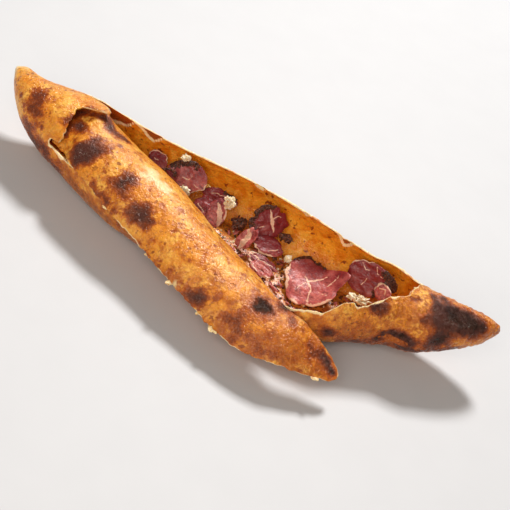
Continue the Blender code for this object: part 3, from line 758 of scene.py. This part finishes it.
# ---- the filling
def hollow_height(x, y):
    """Where the filling's underside lies, just over the hollow's floor."""
    centre_y, centre_z, half_width, half_height = loaf_section(x, WALL)
    across = min(abs(y - centre_y) / (half_width - BED_SIDE_GAP), 1.0)
    upward = math.sqrt(1.0 - across ** (2.0 / BELLY_POWER))
    return max(centre_z - half_height * upward ** BELLY_POWER, FLOOR) + BED_GAP


def bed_half_width(x):
    _, centre_z, half_width, half_height = loaf_section(x, WALL)
    upward = ((centre_z - BED_EDGE_HEIGHT) / half_height) ** (1.0 / BELLY_POWER)
    across = math.sqrt(max(1.0 - upward**2, 0.0)) ** BELLY_POWER
    return (half_width - BED_SIDE_GAP) * across


def bed_top(x, share):
    half = BED_RIDGE if share < BED_RIDGE else 1.0 - BED_RIDGE
    fall = ((share - BED_RIDGE) / half) ** 2
    rise = curve(BED, x, 1) - BED_EDGE_HEIGHT
    edge_fade = min(share, 1.0 - share, 0.15) / 0.15
    bump = BED_BUMP * noise.noise(Vector((x, share * 80.0, 30.0)) / BED_BUMP_LENGTH)
    lumps = ripple(Vector((x, share * 80.0, 4.0)), 5.0, 21.0, 3)
    return BED_EDGE_HEIGHT + rise * (1.0 - fall) + (bump + 0.9 * abs(lumps)) * edge_fade


def bed_place(x, share, underside=False):
    y = curve(LOAF, x, CENTRE) + bed_half_width(x) * (2.0 * share - 1.0)
    below = hollow_height(x, y)
    return Vector((x, y, below if underside else max(bed_top(x, share), below + BED_LEAST)))


def build_bed(material):
    def place(column, row, side):
        x = mix(BED[0][0], BED[-1][0], column / BED_COLUMNS)
        return bed_place(x, row / BED_ROWS, side)

    points, faces = sheet_mesh(BED_COLUMNS, BED_ROWS, place)
    add_piece("filling_oily_bed", points, faces, material, "filling", "filling_bed")


# ---- slices of beef
def slice_outline(angle, seed):
    """The slice's edge in that direction, as a share of its half size."""
    x, y = math.cos(angle), math.sin(angle)
    outline = 1.0 + 0.07 * math.sin(2.0 * angle + seed)
    outline += 0.05 * math.sin(3.0 * angle + 2.0 * seed)
    outline += 0.015 * math.sin(5.0 * angle + 3.0 * seed)
    outline += 0.06 * wave(3.5 * x, 3.5 * y, seed) + 0.03 * wave(11.0 * x, 11.0 * y, seed)
    return outline - 0.15 * smooth_step(0.12, 0.5, wave(1.7 * x, 1.7 * y, seed + 9.0))


def vein_depth(here, half_sizes, veins):
    """1 inside a vein, falling to 0 past its edge."""
    best = 0.0
    for vein in veins:
        for (u0, v0, w0), (u1, v1, w1) in zip(vein, vein[1:]):
            start = Vector((u0 * half_sizes[0], v0 * half_sizes[1]))
            run = Vector((u1 * half_sizes[0], v1 * half_sizes[1])) - start
            t = min(max((here - start).dot(run) / run.length_squared, 0.0), 1.0)
            width = mix(w0, w1, t) * 0.5
            gap = (here - start - run * t).length
            best = max(best, 1.0 - smooth_step(width * 0.4, width * 1.5 + 0.25, gap))
    return best


def rim_share(angle, ring_share, rims, kind, wobble):
    """How much fat or spice lies on the slice's rim at that point."""
    best = 0.0
    degrees = math.degrees(angle) % 360.0
    for start, end, width, rim_kind in rims:
        if rim_kind != kind:
            continue
        middle, half = (start + end) / 2, (end - start) / 2
        off = abs((degrees - middle + 180.0) % 360.0 - 180.0)
        fade = 1.0 - smooth_step(half - 12.0, half + 6.0, off)
        inner = 1.0 - width * fade * (1.0 + wobble)
        best = max(best, fade * smooth_step(inner - 0.05, inner + 0.04, ring_share))
    return best


def wander(place, length, shift):
    """A random step to bend a line by."""
    spot = place / length
    return Vector((noise.noise(spot), noise.noise(spot + Vector((shift, shift, shift)))))


class SliceFrame:
    """The plane of one slice and where a point of it lies."""

    def __init__(self, name):
        place, self.tone, self.veins, self.rims = SLICES[name]
        centre, self.half_length, self.half_depth, turn, lean, self.curl, self.seed = place
        self.centre = Vector(centre)
        self.has_flap = name == FLAP_SLICE
        turn, lean = math.radians(turn), math.radians(lean)
        self.along = Vector((math.cos(turn), math.sin(turn), 0.0))
        self.rising = Vector((-math.sin(turn) * math.cos(lean), math.cos(turn) * math.cos(lean),
                              math.sin(lean)))
        self.facing = self.along.cross(self.rising)

    def flap(self, angle):
        return self.has_flap * math.exp(-((angle - FLAP_ANGLE) / FLAP_SPREAD) ** 2)

    def lift(self, u, v, angle, share):
        seed = self.seed
        lift = self.curl * max(u, 0.0) ** 2
        lift += SLICE_WAVE * wave(2.2 * u, 2.2 * v, seed)
        lift += 0.9 * wave(1.5 * u, 1.5 * v, seed + 2.0)
        lift += 0.9 * (0.3 - abs(wave(2.6 * u, 2.6 * v, seed + 5.0)))
        lift += 0.22 * wave(9.0 * u, 9.0 * v, seed)
        curled = wave(1.3 * math.cos(angle), 1.3 * math.sin(angle), seed + 7.0)
        return lift + 1.7 * curled * smooth_step(0.62, 1.0, share)

    def point(self, u, v, lift):
        return (self.centre + self.along * (u * self.half_length)
                + self.rising * (v * self.half_depth) + self.facing * lift)


def slice_faces(count):
    def index(ring, spoke):
        return 0 if ring == 0 else 1 + (ring - 1) * SLICE_SPOKES + spoke % SLICE_SPOKES

    rings = [[index(ring, spoke), index(ring + 1, spoke),
              index(ring + 1, spoke + 1), index(ring, spoke + 1)]
             for ring in range(SLICE_RINGS) for spoke in range(SLICE_SPOKES)]
    return shell_faces(rings, count)


def build_slice(name, material):
    sheet = SliceFrame(name)
    half_sizes = (sheet.half_length, sheet.half_depth)
    top, under, fat, tones, spice = [], [], [], [], []
    for ring in range(SLICE_RINGS + 1):
        for spoke in range(SLICE_SPOKES if ring else 1):
            angle, share = math.tau * spoke / SLICE_SPOKES, ring / SLICE_RINGS
            flap = sheet.flap(angle)
            reach = slice_outline(angle, sheet.seed) * share * (1.0 + FLAP_REACH * flap)
            u, v = math.cos(angle) * reach, math.sin(angle) * reach
            edge = SLICE_ROUNDING * smooth_step(0.84, 1.0, share)
            lift = sheet.lift(u, v, angle, share) + FLAP_LIFT * flap * share**2
            top.append(sheet.point(u, v, lift - edge))
            under.append(sheet.point(u, v, lift - SLICE_THICKNESS + edge))
            spot = Vector((u * half_sizes[0], v * half_sizes[1], sheet.seed))
            bend = wander(spot, 4.0, 9.0) + 0.5 * wander(spot, 1.4, 5.0)
            vein = vein_depth(spot.xy + 0.9 * bend, half_sizes, sheet.veins)
            wobble = 0.8 * noise.noise(spot / 2.5)
            fat.append(max(vein, rim_share(angle, share, sheet.rims, "fat", wobble)))
            spice.append(rim_share(angle, share, sheet.rims, "spice", wobble))
            tone = sheet.tone + 0.48 * v + 0.45 * noise.noise(spot / 7.0)
            tones.append(min(max(tone, 0.0), 1.0))
    coats = {"fat": fat * 2, "tone": tones * 2, "spice": spice * 2}
    add_piece(name + "_meat", top + under, slice_faces(len(top)), material, "beef", name,
              coats=coats)


# ---- lumps and crumbs
def lump_points(centre, half_sizes, roughness, seed, level, turn=(0.0, 0.0, 0.0)):
    """Points and faces of one craggy lump."""
    mesh = bmesh.new()
    bmesh.ops.create_icosphere(mesh, subdivisions=level, radius=1.0)
    spin = Euler(turn)
    points = []
    for vertex in mesh.verts:
        spot = vertex.co * 1.3 + Vector((seed, 2.0 * seed, 0.0))
        crag = 0.5 - 1.6 * abs(noise.noise(spot)) + 0.7 * noise.noise(spot * 2.3)
        crag += 0.35 * noise.noise(spot * 5.0)
        reach = 1.0 + roughness * crag
        local = Vector([a * h * reach for a, h in zip(vertex.co, half_sizes)])
        local.rotate(spin)
        points.append(Vector(centre) + local)
    faces = [[v.index for v in face.verts] for face in mesh.faces]
    mesh.free()
    return points, faces


def ribbon_points(centre, length, width, turn, bend, seed):
    """Points and faces of a curled shred."""
    spin = Euler(turn)
    steps = 10
    points = []
    for step in range(steps + 1):
        t = step / steps - 0.5
        wide = width * (0.25 + 0.75 * math.cos(math.pi * t * 0.92)) * 0.5
        wide *= 1.0 + 0.35 * wave(t * 6.0, seed, 0.0)
        lift = bend * (t * t - 0.1) * length + 0.7 * wave(t * 4.0, seed, 5.0)
        side = 0.9 * wave(t * 3.0, seed, 9.0)
        for across, up in ((-1, -1), (1, -1), (1, 1), (-1, 1)):
            local = Vector((t * length, side + across * wide, lift + up * SHRED_THICKNESS * 0.5))
            local.rotate(spin)
            points.append(Vector(centre) + local)
    faces = [[3, 2, 1, 0], [4 * steps, 4 * steps + 1, 4 * steps + 2, 4 * steps + 3]]
    for step in range(steps):
        for corner in range(4):
            a, b = 4 * step + corner, 4 * step + (corner + 1) % 4
            faces.append([a, b, b + 4, a + 4])
    return points, faces


def join_pieces(name, bits, material, slot, *nodes, smooth=False):
    """One mesh of many closed bits, each given as its points and faces."""
    points, faces = [], []
    for bit, rings in bits:
        faces += [[index + len(points) for index in ring] for ring in rings]
        points += bit
    add_piece(name, points, faces, material, slot, *nodes, smooth=smooth)


def random_turn(draw):
    return [draw.uniform(0.0, math.tau) for _ in range(3)]


def inside_ellipsoid(draw, centre, half_sizes, share):
    while True:
        way = Vector([draw.uniform(-1.0, 1.0) for _ in range(3)])
        if way.length <= 1.0:
            return Vector(centre) + Vector([a * h * share for a, h in zip(way, half_sizes)])


def flaky_lump(centre, half_sizes, seed):
    """A crumpled lump: a core with leaves pressed round it."""
    draw = random.Random(seed)
    bits = [lump_points(centre, [h * 0.66 for h in half_sizes], 0.6, seed, 3)]
    size = sum(half_sizes) / 3.0
    for leaf in range(14):
        spot = inside_ellipsoid(draw, centre, half_sizes, 0.7)
        leaf_sizes = (size * draw.uniform(0.4, 0.68), size * draw.uniform(0.25, 0.45),
                      size * draw.uniform(0.10, 0.2))
        bits.append(lump_points(spot, leaf_sizes, 0.7, seed + leaf, 2, random_turn(draw)))
    return bits


def build_lumps(fat, cheese, spice):
    kinds = (("fat_crumb", "_flakes", fat, "fat"), ("spice_lump", "_paste", spice, "spice"))
    for name, (centre, half_sizes) in LUMPS.items():
        for start, ending, material, slot in kinds:
            if name.startswith(start):
                bits = flaky_lump(centre, half_sizes, len(name))
                join_pieces(name + ending, bits, material, slot, name)
    blob = lump_points(*LUMPS["cheese_blob"], 0.25, 3, 5)
    join_pieces("cheese_blob_melted", [blob], cheese, "cheese", "cheese_blob", smooth=True)


def build_nubs(material):
    """Bits of crumb that stand out of the lid's torn near edge."""
    bits = []
    for number, (x, size) in enumerate(NUBS):
        spot = lid_place(x, 0.0, LID_THICKNESS / 2) + Vector((0.0, -0.3 * size, -0.2 * size))
        sizes = (size * 1.3, size * 0.7, size * 0.55)
        bits.append(lump_points(spot, sizes, 0.6, 3.0 * number, 3, (0.3, 0.2, 0.5 * number)))
    join_pieces("crumb_nubs", bits, material, "crust")


def build_shreds(material):
    """The tangle of pale shreds at the right end."""
    draw = random.Random(7)
    bits = []
    for shred in range(26):
        spot = inside_ellipsoid(draw, *LUMPS["fat_shreds"], 0.72)
        turn = (draw.uniform(-0.8, 0.8), draw.uniform(-0.5, 0.5), draw.uniform(-0.9, 0.7))
        bits.append(ribbon_points(spot, draw.uniform(4.5, 8.5), draw.uniform(1.2, 2.6), turn,
                                  draw.uniform(-0.5, 0.5), shred))
    join_pieces("fat_shreds_loose", bits, material, "fat", "fat_shreds", smooth=True)


def rim_crumb(draw, sheet, start, end, width):
    """One crumb of spice on a slice's rim."""
    angle = math.radians(draw.uniform(start, end))
    share = 1.0 - width * draw.uniform(0.0, 1.0)
    reach = slice_outline(angle, sheet.seed) * share
    u, v = math.cos(angle) * reach, math.sin(angle) * reach
    lift = sheet.lift(u, v, angle, share) + draw.uniform(-0.2, 0.3)
    size = draw.uniform(0.35, 0.95)
    sizes = (size * draw.uniform(1.0, 1.8), size, size * draw.uniform(0.5, 0.9))
    seed = draw.uniform(0, 50)
    return lump_points(sheet.point(u, v, lift), sizes, 0.6, seed, 2, random_turn(draw))


def build_spice_crumbs(material):
    """Crumbs of the dark spice paste on the rims that carry it."""
    draw = random.Random(11)
    bits = []
    for name in SLICES:
        sheet = SliceFrame(name)
        for start, end, width, kind in sheet.rims:
            if kind == "spice":
                crumbs = int((end - start) * width * 2.2)
                bits += [rim_crumb(draw, sheet, start, end, width) for _ in range(crumbs)]
    join_pieces("spice_crumbs", bits, material, "spice")


def bed_spot(draw):
    x = draw.uniform(-95.0, 118.0)
    return bed_place(x, draw.uniform(0.12, 0.92))


def strewn_lumps(draw, count, smallest, largest, stretch, roughness):
    """Small lumps strewn over the filling."""
    bits = []
    for number in range(count):
        size = draw.uniform(smallest, largest)
        bits.append(lump_points(bed_spot(draw), (size * stretch, size, size * 0.8), roughness,
                                number, 2, random_turn(draw)))
    return bits


def build_bed_bits(beef, fat, spice):
    """Shreds of beef and crumbs of fat and spice strewn over the filling."""
    draw = random.Random(23)
    shreds = []
    for number in range(150):
        spot = bed_spot(draw)
        spot.z += draw.uniform(0.1, 1.4)
        turn = (draw.uniform(-0.7, 0.7), draw.uniform(-0.7, 0.7), draw.uniform(0.0, math.tau))
        shreds.append(ribbon_points(spot, draw.uniform(3.0, 9.0), draw.uniform(1.2, 3.4), turn,
                                    draw.uniform(-0.6, 0.6), number))
    crumbs = strewn_lumps(draw, 110, 0.5, 1.3, 1.4, 0.5)
    specks = strewn_lumps(draw, 320, 0.35, 1.2, 1.5, 0.6)
    join_pieces("beef_shreds", shreds, beef, "beef", smooth=True)
    join_pieces("fat_crumbs_small", crumbs, fat, "fat")
    join_pieces("spice_bits_small", specks, spice, "spice")


# ---- materials
# Socket numbers of the mix node, for colours.
MIX_SHARE, MIX_UNDER, MIX_OVER, MIX_RESULT = 0, 6, 7, 2


class Signal:
    """A shader value that is added, subtracted and multiplied like a number."""

    def __init__(self, shader, socket):
        self.shader, self.socket = shader, socket

    def __add__(self, other):
        return self.shader.node("Math", {0: self, 1: other}, operation="ADD")

    def __sub__(self, other):
        return self.shader.node("Math", {0: self, 1: other}, operation="SUBTRACT")

    def __rsub__(self, other):
        return self.shader.node("Math", {0: other, 1: self}, operation="SUBTRACT")

    def __mul__(self, other):
        return self.shader.node("Math", {0: self, 1: other}, operation="MULTIPLY")

    def ramp(self, low, high):
        """Maps low to 0 and high to 1, clamped."""
        return self.shader.node("MapRange", {"Value": self, "From Min": low, "From Max": high},
                                "Result", interpolation_type="SMOOTHSTEP")


class Shader:
    """A node material that is put together one step at a time."""

    def __init__(self, name, roughness, subsurface=0.0, radius=(1.0, 0.4, 0.15), scale=0.003,
                 coat=0.0, specular=0.5):
        self.material = bpy.data.materials.new(name)
        self.material.use_nodes = True
        self.tree = self.material.node_tree
        self.normal = None
        self.set("Roughness", roughness)
        self.set("Subsurface Weight", subsurface)
        self.set("Subsurface Radius", radius)
        self.set("Subsurface Scale", scale)
        self.set("Coat Weight", coat)
        self.set("Coat Roughness", 0.13)
        self.set("Specular IOR Level", specular)
        self.place = self.node("TexCoord", {}, "Object")

    def feed(self, socket, value):
        """Links a signal to a socket, or sets a number, a vector or a colour on it."""
        if isinstance(value, Signal):
            self.tree.links.new(value.socket, socket)
        else:
            socket.default_value = (*value, 1.0) if socket.type == "RGBA" else value

    def set(self, name, value):
        self.feed(self.tree.nodes["Principled BSDF"].inputs[name], value)

    def node(self, kind, inputs, output=0, **settings):
        """A new node's output; the inputs are given by their sockets' names or numbers."""
        node = self.tree.nodes.new("ShaderNode" + kind)
        for key, value in settings.items():
            setattr(node, key, value)
        for key, value in inputs.items():
            self.feed(node.inputs[key], value)
        return Signal(self, node.outputs[output])

    def noise(self, size, detail=3.0, roughness=0.55, distortion=0.0, offset=0.0):
        """Noise with features of that size in millimetres; 0 to 1, mostly about 0.5."""
        place = self.place
        if offset:
            place = self.node("VectorMath", {0: place, 1: (offset,) * 3}, operation="ADD")
        return self.node("TexNoise", {"Vector": place, "Scale": 1000.0 / size, "Detail": detail,
                                      "Roughness": roughness, "Distortion": distortion}, "Fac")

    def attribute(self, name):
        return self.node("Attribute", {}, "Fac", attribute_name=name)

    def layers(self, base, *coats):
        """Lays colours over a base one by one; each coat is a colour and its share."""
        for colour, share in coats:
            base = self.node("Mix", {MIX_SHARE: share, MIX_UNDER: base, MIX_OVER: colour},
                             MIX_RESULT, data_type="RGBA")
        return base

    def bump(self, height, distance, strength):
        """Lays a bump of that distance in millimetres over the bumps before it."""
        inputs = {"Height": height, "Distance": distance * MM, "Strength": strength}
        if self.normal:
            inputs["Normal"] = self.normal
        self.normal = self.node("Bump", inputs, "Normal")
        self.set("Normal", self.normal)
        self.set("Coat Normal", self.normal)


def crust_material():
    shader = Shader("baked_crust", 0.42, subsurface=0.22, radius=(1.0, 0.4, 0.1), scale=0.004,
                    coat=0.12)
    shader.set("Specular Tint", (1.0, 0.84, 0.68))
    noise, attribute = shader.noise, shader.attribute
    coarse, dark = attribute("coarse"), attribute("dark")
    cells = noise(2.5, 2.5, 0.55, 0.3, 13.0)
    # The brown coats darken the crust low down and towards the right: partly baked browning, partly
    # painted shade.
    brown_and_shade_patches = attribute("brown") * 0.62 + (noise(8.0, 5.0, 0.62, 0.4, 11.0) - 0.5) * 2.5
    specks = noise(3.6, 1.5, 0.45, 0.2, 1.0).ramp(0.60, 0.69)
    where = noise(18.0, 2.0, 0.5, 0.0, 7.0).ramp(0.36, 0.58)
    grain = noise(2.0, 4.0, 0.65) - 0.5
    ragged = grain * 0.9 + (noise(7.0, 4.0, 0.6, 0.4, 9.0) - 0.5) * 1.5
    mottled = dark + ragged
    burnt = (attribute("black") + ragged * 0.6).ramp(0.22, 0.60)
    skin = shader.layers(
        (0.80, 0.310, 0.027),
        ((0.93, 0.50, 0.092), noise(22.0, 3.0, 0.6).ramp(0.40, 0.66)),
        ((0.66, 0.195, 0.014), noise(9.0, 4.0, 0.62, 0.5, 3.0).ramp(0.45, 0.65) * 0.75),
        ((0.52, 0.140, 0.012), cells.ramp(0.56, 0.43) * (coarse * 0.5 + 0.35)),
        ((0.45, 0.110, 0.010), brown_and_shade_patches.ramp(0.10, 0.62) * 0.9),
        ((0.22, 0.050, 0.010), brown_and_shade_patches.ramp(0.55, 1.10) * 0.85),
        ((0.27, 0.058, 0.010), specks * where * 0.85),
        ((0.90, 0.74, 0.40), attribute("pale") * 0.80),
        ((0.40, 0.085, 0.009), mottled.ramp(0.12, 0.50)),
        ((0.185, 0.038, 0.011), mottled.ramp(0.36, 0.84)),
        ((0.080, 0.023, 0.016), mottled.ramp(0.74, 1.35)),
        ((0.034, 0.013, 0.008), burnt),
        ((0.60, 0.150, 0.014), (attribute("slit") + grain).ramp(0.35, 0.75)))
    # The inside's bright orange is partly the oily crumb's own colour and partly painted glow of light
    # shining through the thin far wall.
    wall = shader.layers(
        (0.72, 0.205, 0.007),
        ((0.90, 0.375, 0.026), noise(12.0, 4.0, 0.6, 0.5, 5.0).ramp(0.38, 0.62)),
        ((0.42, 0.078, 0.008), noise(7.0, 5.0, 0.64, 0.8, 6.0).ramp(0.54, 0.72) * 0.7),
        ((0.98, 0.50, 0.06), noise(16.0, 4.0, 0.6, 0.6, 15.0).ramp(0.52, 0.68) * 0.7),
        ((0.26, 0.036, 0.008), noise(6.5, 4.0, 0.6, 0.4, 2.0).ramp(0.605, 0.665) * 0.95),
        ((0.30, 0.050, 0.010), attribute("torn") * 0.85))
    crumb = ((0.96, 0.73, 0.42), attribute("cut").ramp(0.3, 0.8))
    shader.set("Base Color", shader.layers(skin, (wall, attribute("inside")), crumb))
    shader.set("Roughness", noise(2.2) * 0.36 + 0.13 - dark * 0.08)
    shine = 0.42 - (burnt * 0.14 + mottled.ramp(0.30, 1.0) * 0.14)
    shader.set("Specular IOR Level", shine)
    shader.bump(noise(1.4, 3.0, 0.6), 0.42, 0.9)
    shader.bump(cells * (coarse * 2.0 + 1.5), 0.7, 0.9)
    wrinkles = noise(3.6, 3.0, 0.6, 0.6, 4.0)
    shader.bump(wrinkles * (dark * 0.8 + 0.4 + burnt * 1.6), 1.2, 0.9)
    return shader.material


def beef_material():
    shader = Shader("cured_beef", 0.5, subsurface=0.2, radius=(1.0, 0.2, 0.15), scale=0.002,
                    coat=0.06, specular=0.42)
    noise, attribute = shader.noise, shader.attribute
    ragged = (noise(1.5) - 0.5) * 0.9
    meat = shader.layers(
        (0.50, 0.100, 0.090),
        ((0.60, 0.165, 0.135), noise(5.0).ramp(0.4, 0.6)),
        ((0.22, 0.013, 0.016), attribute("tone").ramp(0.05, 0.9)),
        ((0.60, 0.24, 0.20), noise(2.6, 4.0, 0.65, 1.4, 1.0).ramp(0.60, 0.70) * 0.4),
        ((0.20, 0.014, 0.020), noise(1.6, 3.0, 0.65, 0.6, 4.0).ramp(0.48, 0.62) * 0.45),
        ((0.12, 0.012, 0.016), noise(6.0, 3.0, 0.6, 0.6, 6.0).ramp(0.52, 0.70) * 0.7),
        ((0.80, 0.50, 0.34), (attribute("fat") + ragged).ramp(0.35, 0.75) * 0.92),
        ((0.075, 0.020, 0.010), (attribute("spice") + ragged).ramp(0.2, 0.6)))
    shader.set("Base Color", meat)
    shader.set("Roughness", noise(1.8) * 0.55 + 0.14)
    shader.bump(noise(2.4, 3.0, 0.6, 0.6), 0.6, 0.9)
    shader.bump(noise(0.7, 2.0), 0.12, 0.6)
    return shader.material


def noisy_material(name, roughness, base, coats, relief, **looks):
    """A base colour, coats of (colour, noise, ramp) over it, and a bump of that relief."""
    shader = Shader(name, roughness, **looks)
    coats = [(colour, shader.noise(*grain).ramp(*span)) for colour, grain, span in coats]
    shader.set("Base Color", shader.layers(base, *coats))
    grain, distance, strength = relief
    shader.bump(shader.noise(*grain), distance, strength)
    return shader.material


def filling_material():
    orange = ((0.70, 0.25, 0.03), (7.0, 3.0, 0.6, 0.4), (0.38, 0.62))
    dark = ((0.10, 0.018, 0.010), (4.0, 3.0, 0.6, 0.2, 2.0), (0.54, 0.64))
    return noisy_material("oily_filling", 0.36, (0.42, 0.10, 0.015), (orange, dark),
                          ((1.4,), 0.5, 0.8), subsurface=0.1, coat=0.15)


def fat_material():
    cream = ((0.92, 0.82, 0.62), (3.0,), (0.4, 0.6))
    stained = ((0.62, 0.25, 0.06), (4.0, 3.0, 0.5, 0.0, 2.0), (0.60, 0.75))
    return noisy_material("soft_fat", 0.42, (0.80, 0.62, 0.36), (cream, stained),
                          ((1.0,), 0.35, 0.8), subsurface=0.25, radius=(1.0, 0.7, 0.4), scale=0.002)


def crumb_material():
    toasted = ((0.62, 0.28, 0.06), (3.0,), (0.45, 0.70))
    return noisy_material("torn_crumb", 0.6, (0.90, 0.72, 0.40), (toasted,),
                          ((1.0,), 0.35, 0.8), subsurface=0.2, radius=(1.0, 0.6, 0.3), scale=0.002)


def cheese_material():
    yellow = ((0.95, 0.68, 0.20), (3.0,), (0.40, 0.62))
    return noisy_material("melted_cheese", 0.2, (0.88, 0.46, 0.05), (yellow,),
                          ((3.0, 2.0), 0.4, 0.6), subsurface=0.35, radius=(1.0, 0.5, 0.12),
                          scale=0.004, coat=0.6)


def spice_material():
    rusty = ((0.22, 0.055, 0.018), (1.8,), (0.40, 0.68))
    return noisy_material("dark_spice", 0.5, (0.045, 0.014, 0.009), (rusty,),
                          ((0.9, 3.0, 0.65), 0.5, 1.0), coat=0.15)


def floor_material():
    shader = Shader("pale_floor", 0.6)
    paler = ((0.590, 0.602, 0.624), shader.noise(40.0, 2.0))
    shader.set("Base Color", shader.layers((0.560, 0.572, 0.594), paler))
    return shader.material


# ---- camera, light, floor
def build_camera():
    data = bpy.data.cameras.new("camera")
    data.lens = 90.5
    data.sensor_width = 36.0
    data.clip_start, data.clip_end = 0.01, 20.0
    place = (0.12272, -0.74485, 0.66123)
    forward = Vector((-0.09934, 0.75617, -0.64679))
    right = Vector((0.99148, 0.13025, 0.0))
    up = Vector((-0.08424, 0.64128, 0.76267))
    roll = math.radians(24.0)
    image_right = right * math.cos(roll) + up * math.sin(roll)
    image_up = up * math.cos(roll) - right * math.sin(roll)
    axes = Matrix((image_right, image_up, -forward)).transposed().to_4x4()
    camera = add_object("camera", data)
    camera.matrix_world = Matrix.Translation(place) @ axes
    bpy.context.scene.camera = camera


def add_lamp(name, direction, distance, size, power, colour):
    data = bpy.data.lights.new(name, "AREA")
    data.size = size
    data.energy = power
    data.color = colour
    lamp = add_object(name, data)
    way = Vector(direction).normalized()
    lamp.location = way * distance
    lamp.rotation_euler = way.to_track_quat("Z", "Y").to_euler()


def build_lights():
    add_lamp("key", (-0.09, 0.64, 0.77), 3.2, 0.55, 114.0, (1.0, 0.98, 0.955))
    add_lamp("fill", (0.0, -0.8, 0.62), 3.0, 2.0, 60.0, (1.0, 0.90, 0.80))
    world = bpy.data.worlds.new("studio")
    bpy.context.scene.world = world
    world.use_nodes = True
    background = world.node_tree.nodes["Background"]
    background.inputs["Color"].default_value = (1.0, 0.93, 0.86, 1.0)
    background.inputs["Strength"].default_value = 0.19
    bpy.context.scene.view_settings.view_transform = "Standard"


def build_floor():
    """A plain square floor, just under the part."""
    half, height = 3.0, -0.0004
    corners = [(-half, -half, height), (half, -half, height),
               (half, half, height), (-half, half, height)]
    floor = add_mesh("floor", corners, [[0, 1, 2, 3]], floor_material())


def main():
    build_camera()
    crust, beef = crust_material(), beef_material()
    fat, cheese, spice = fat_material(), cheese_material(), spice_material()
    build_loaf(crust)
    build_lid(crust)
    build_bed(filling_material())
    for name in SLICES:
        build_slice(name, beef)
    build_lumps(fat, cheese, spice)
    build_shreds(fat)
    build_nubs(crumb_material())
    build_spice_crumbs(spice)
    build_bed_bits(beef, fat, spice)
    build_lights()
    build_floor()


main()
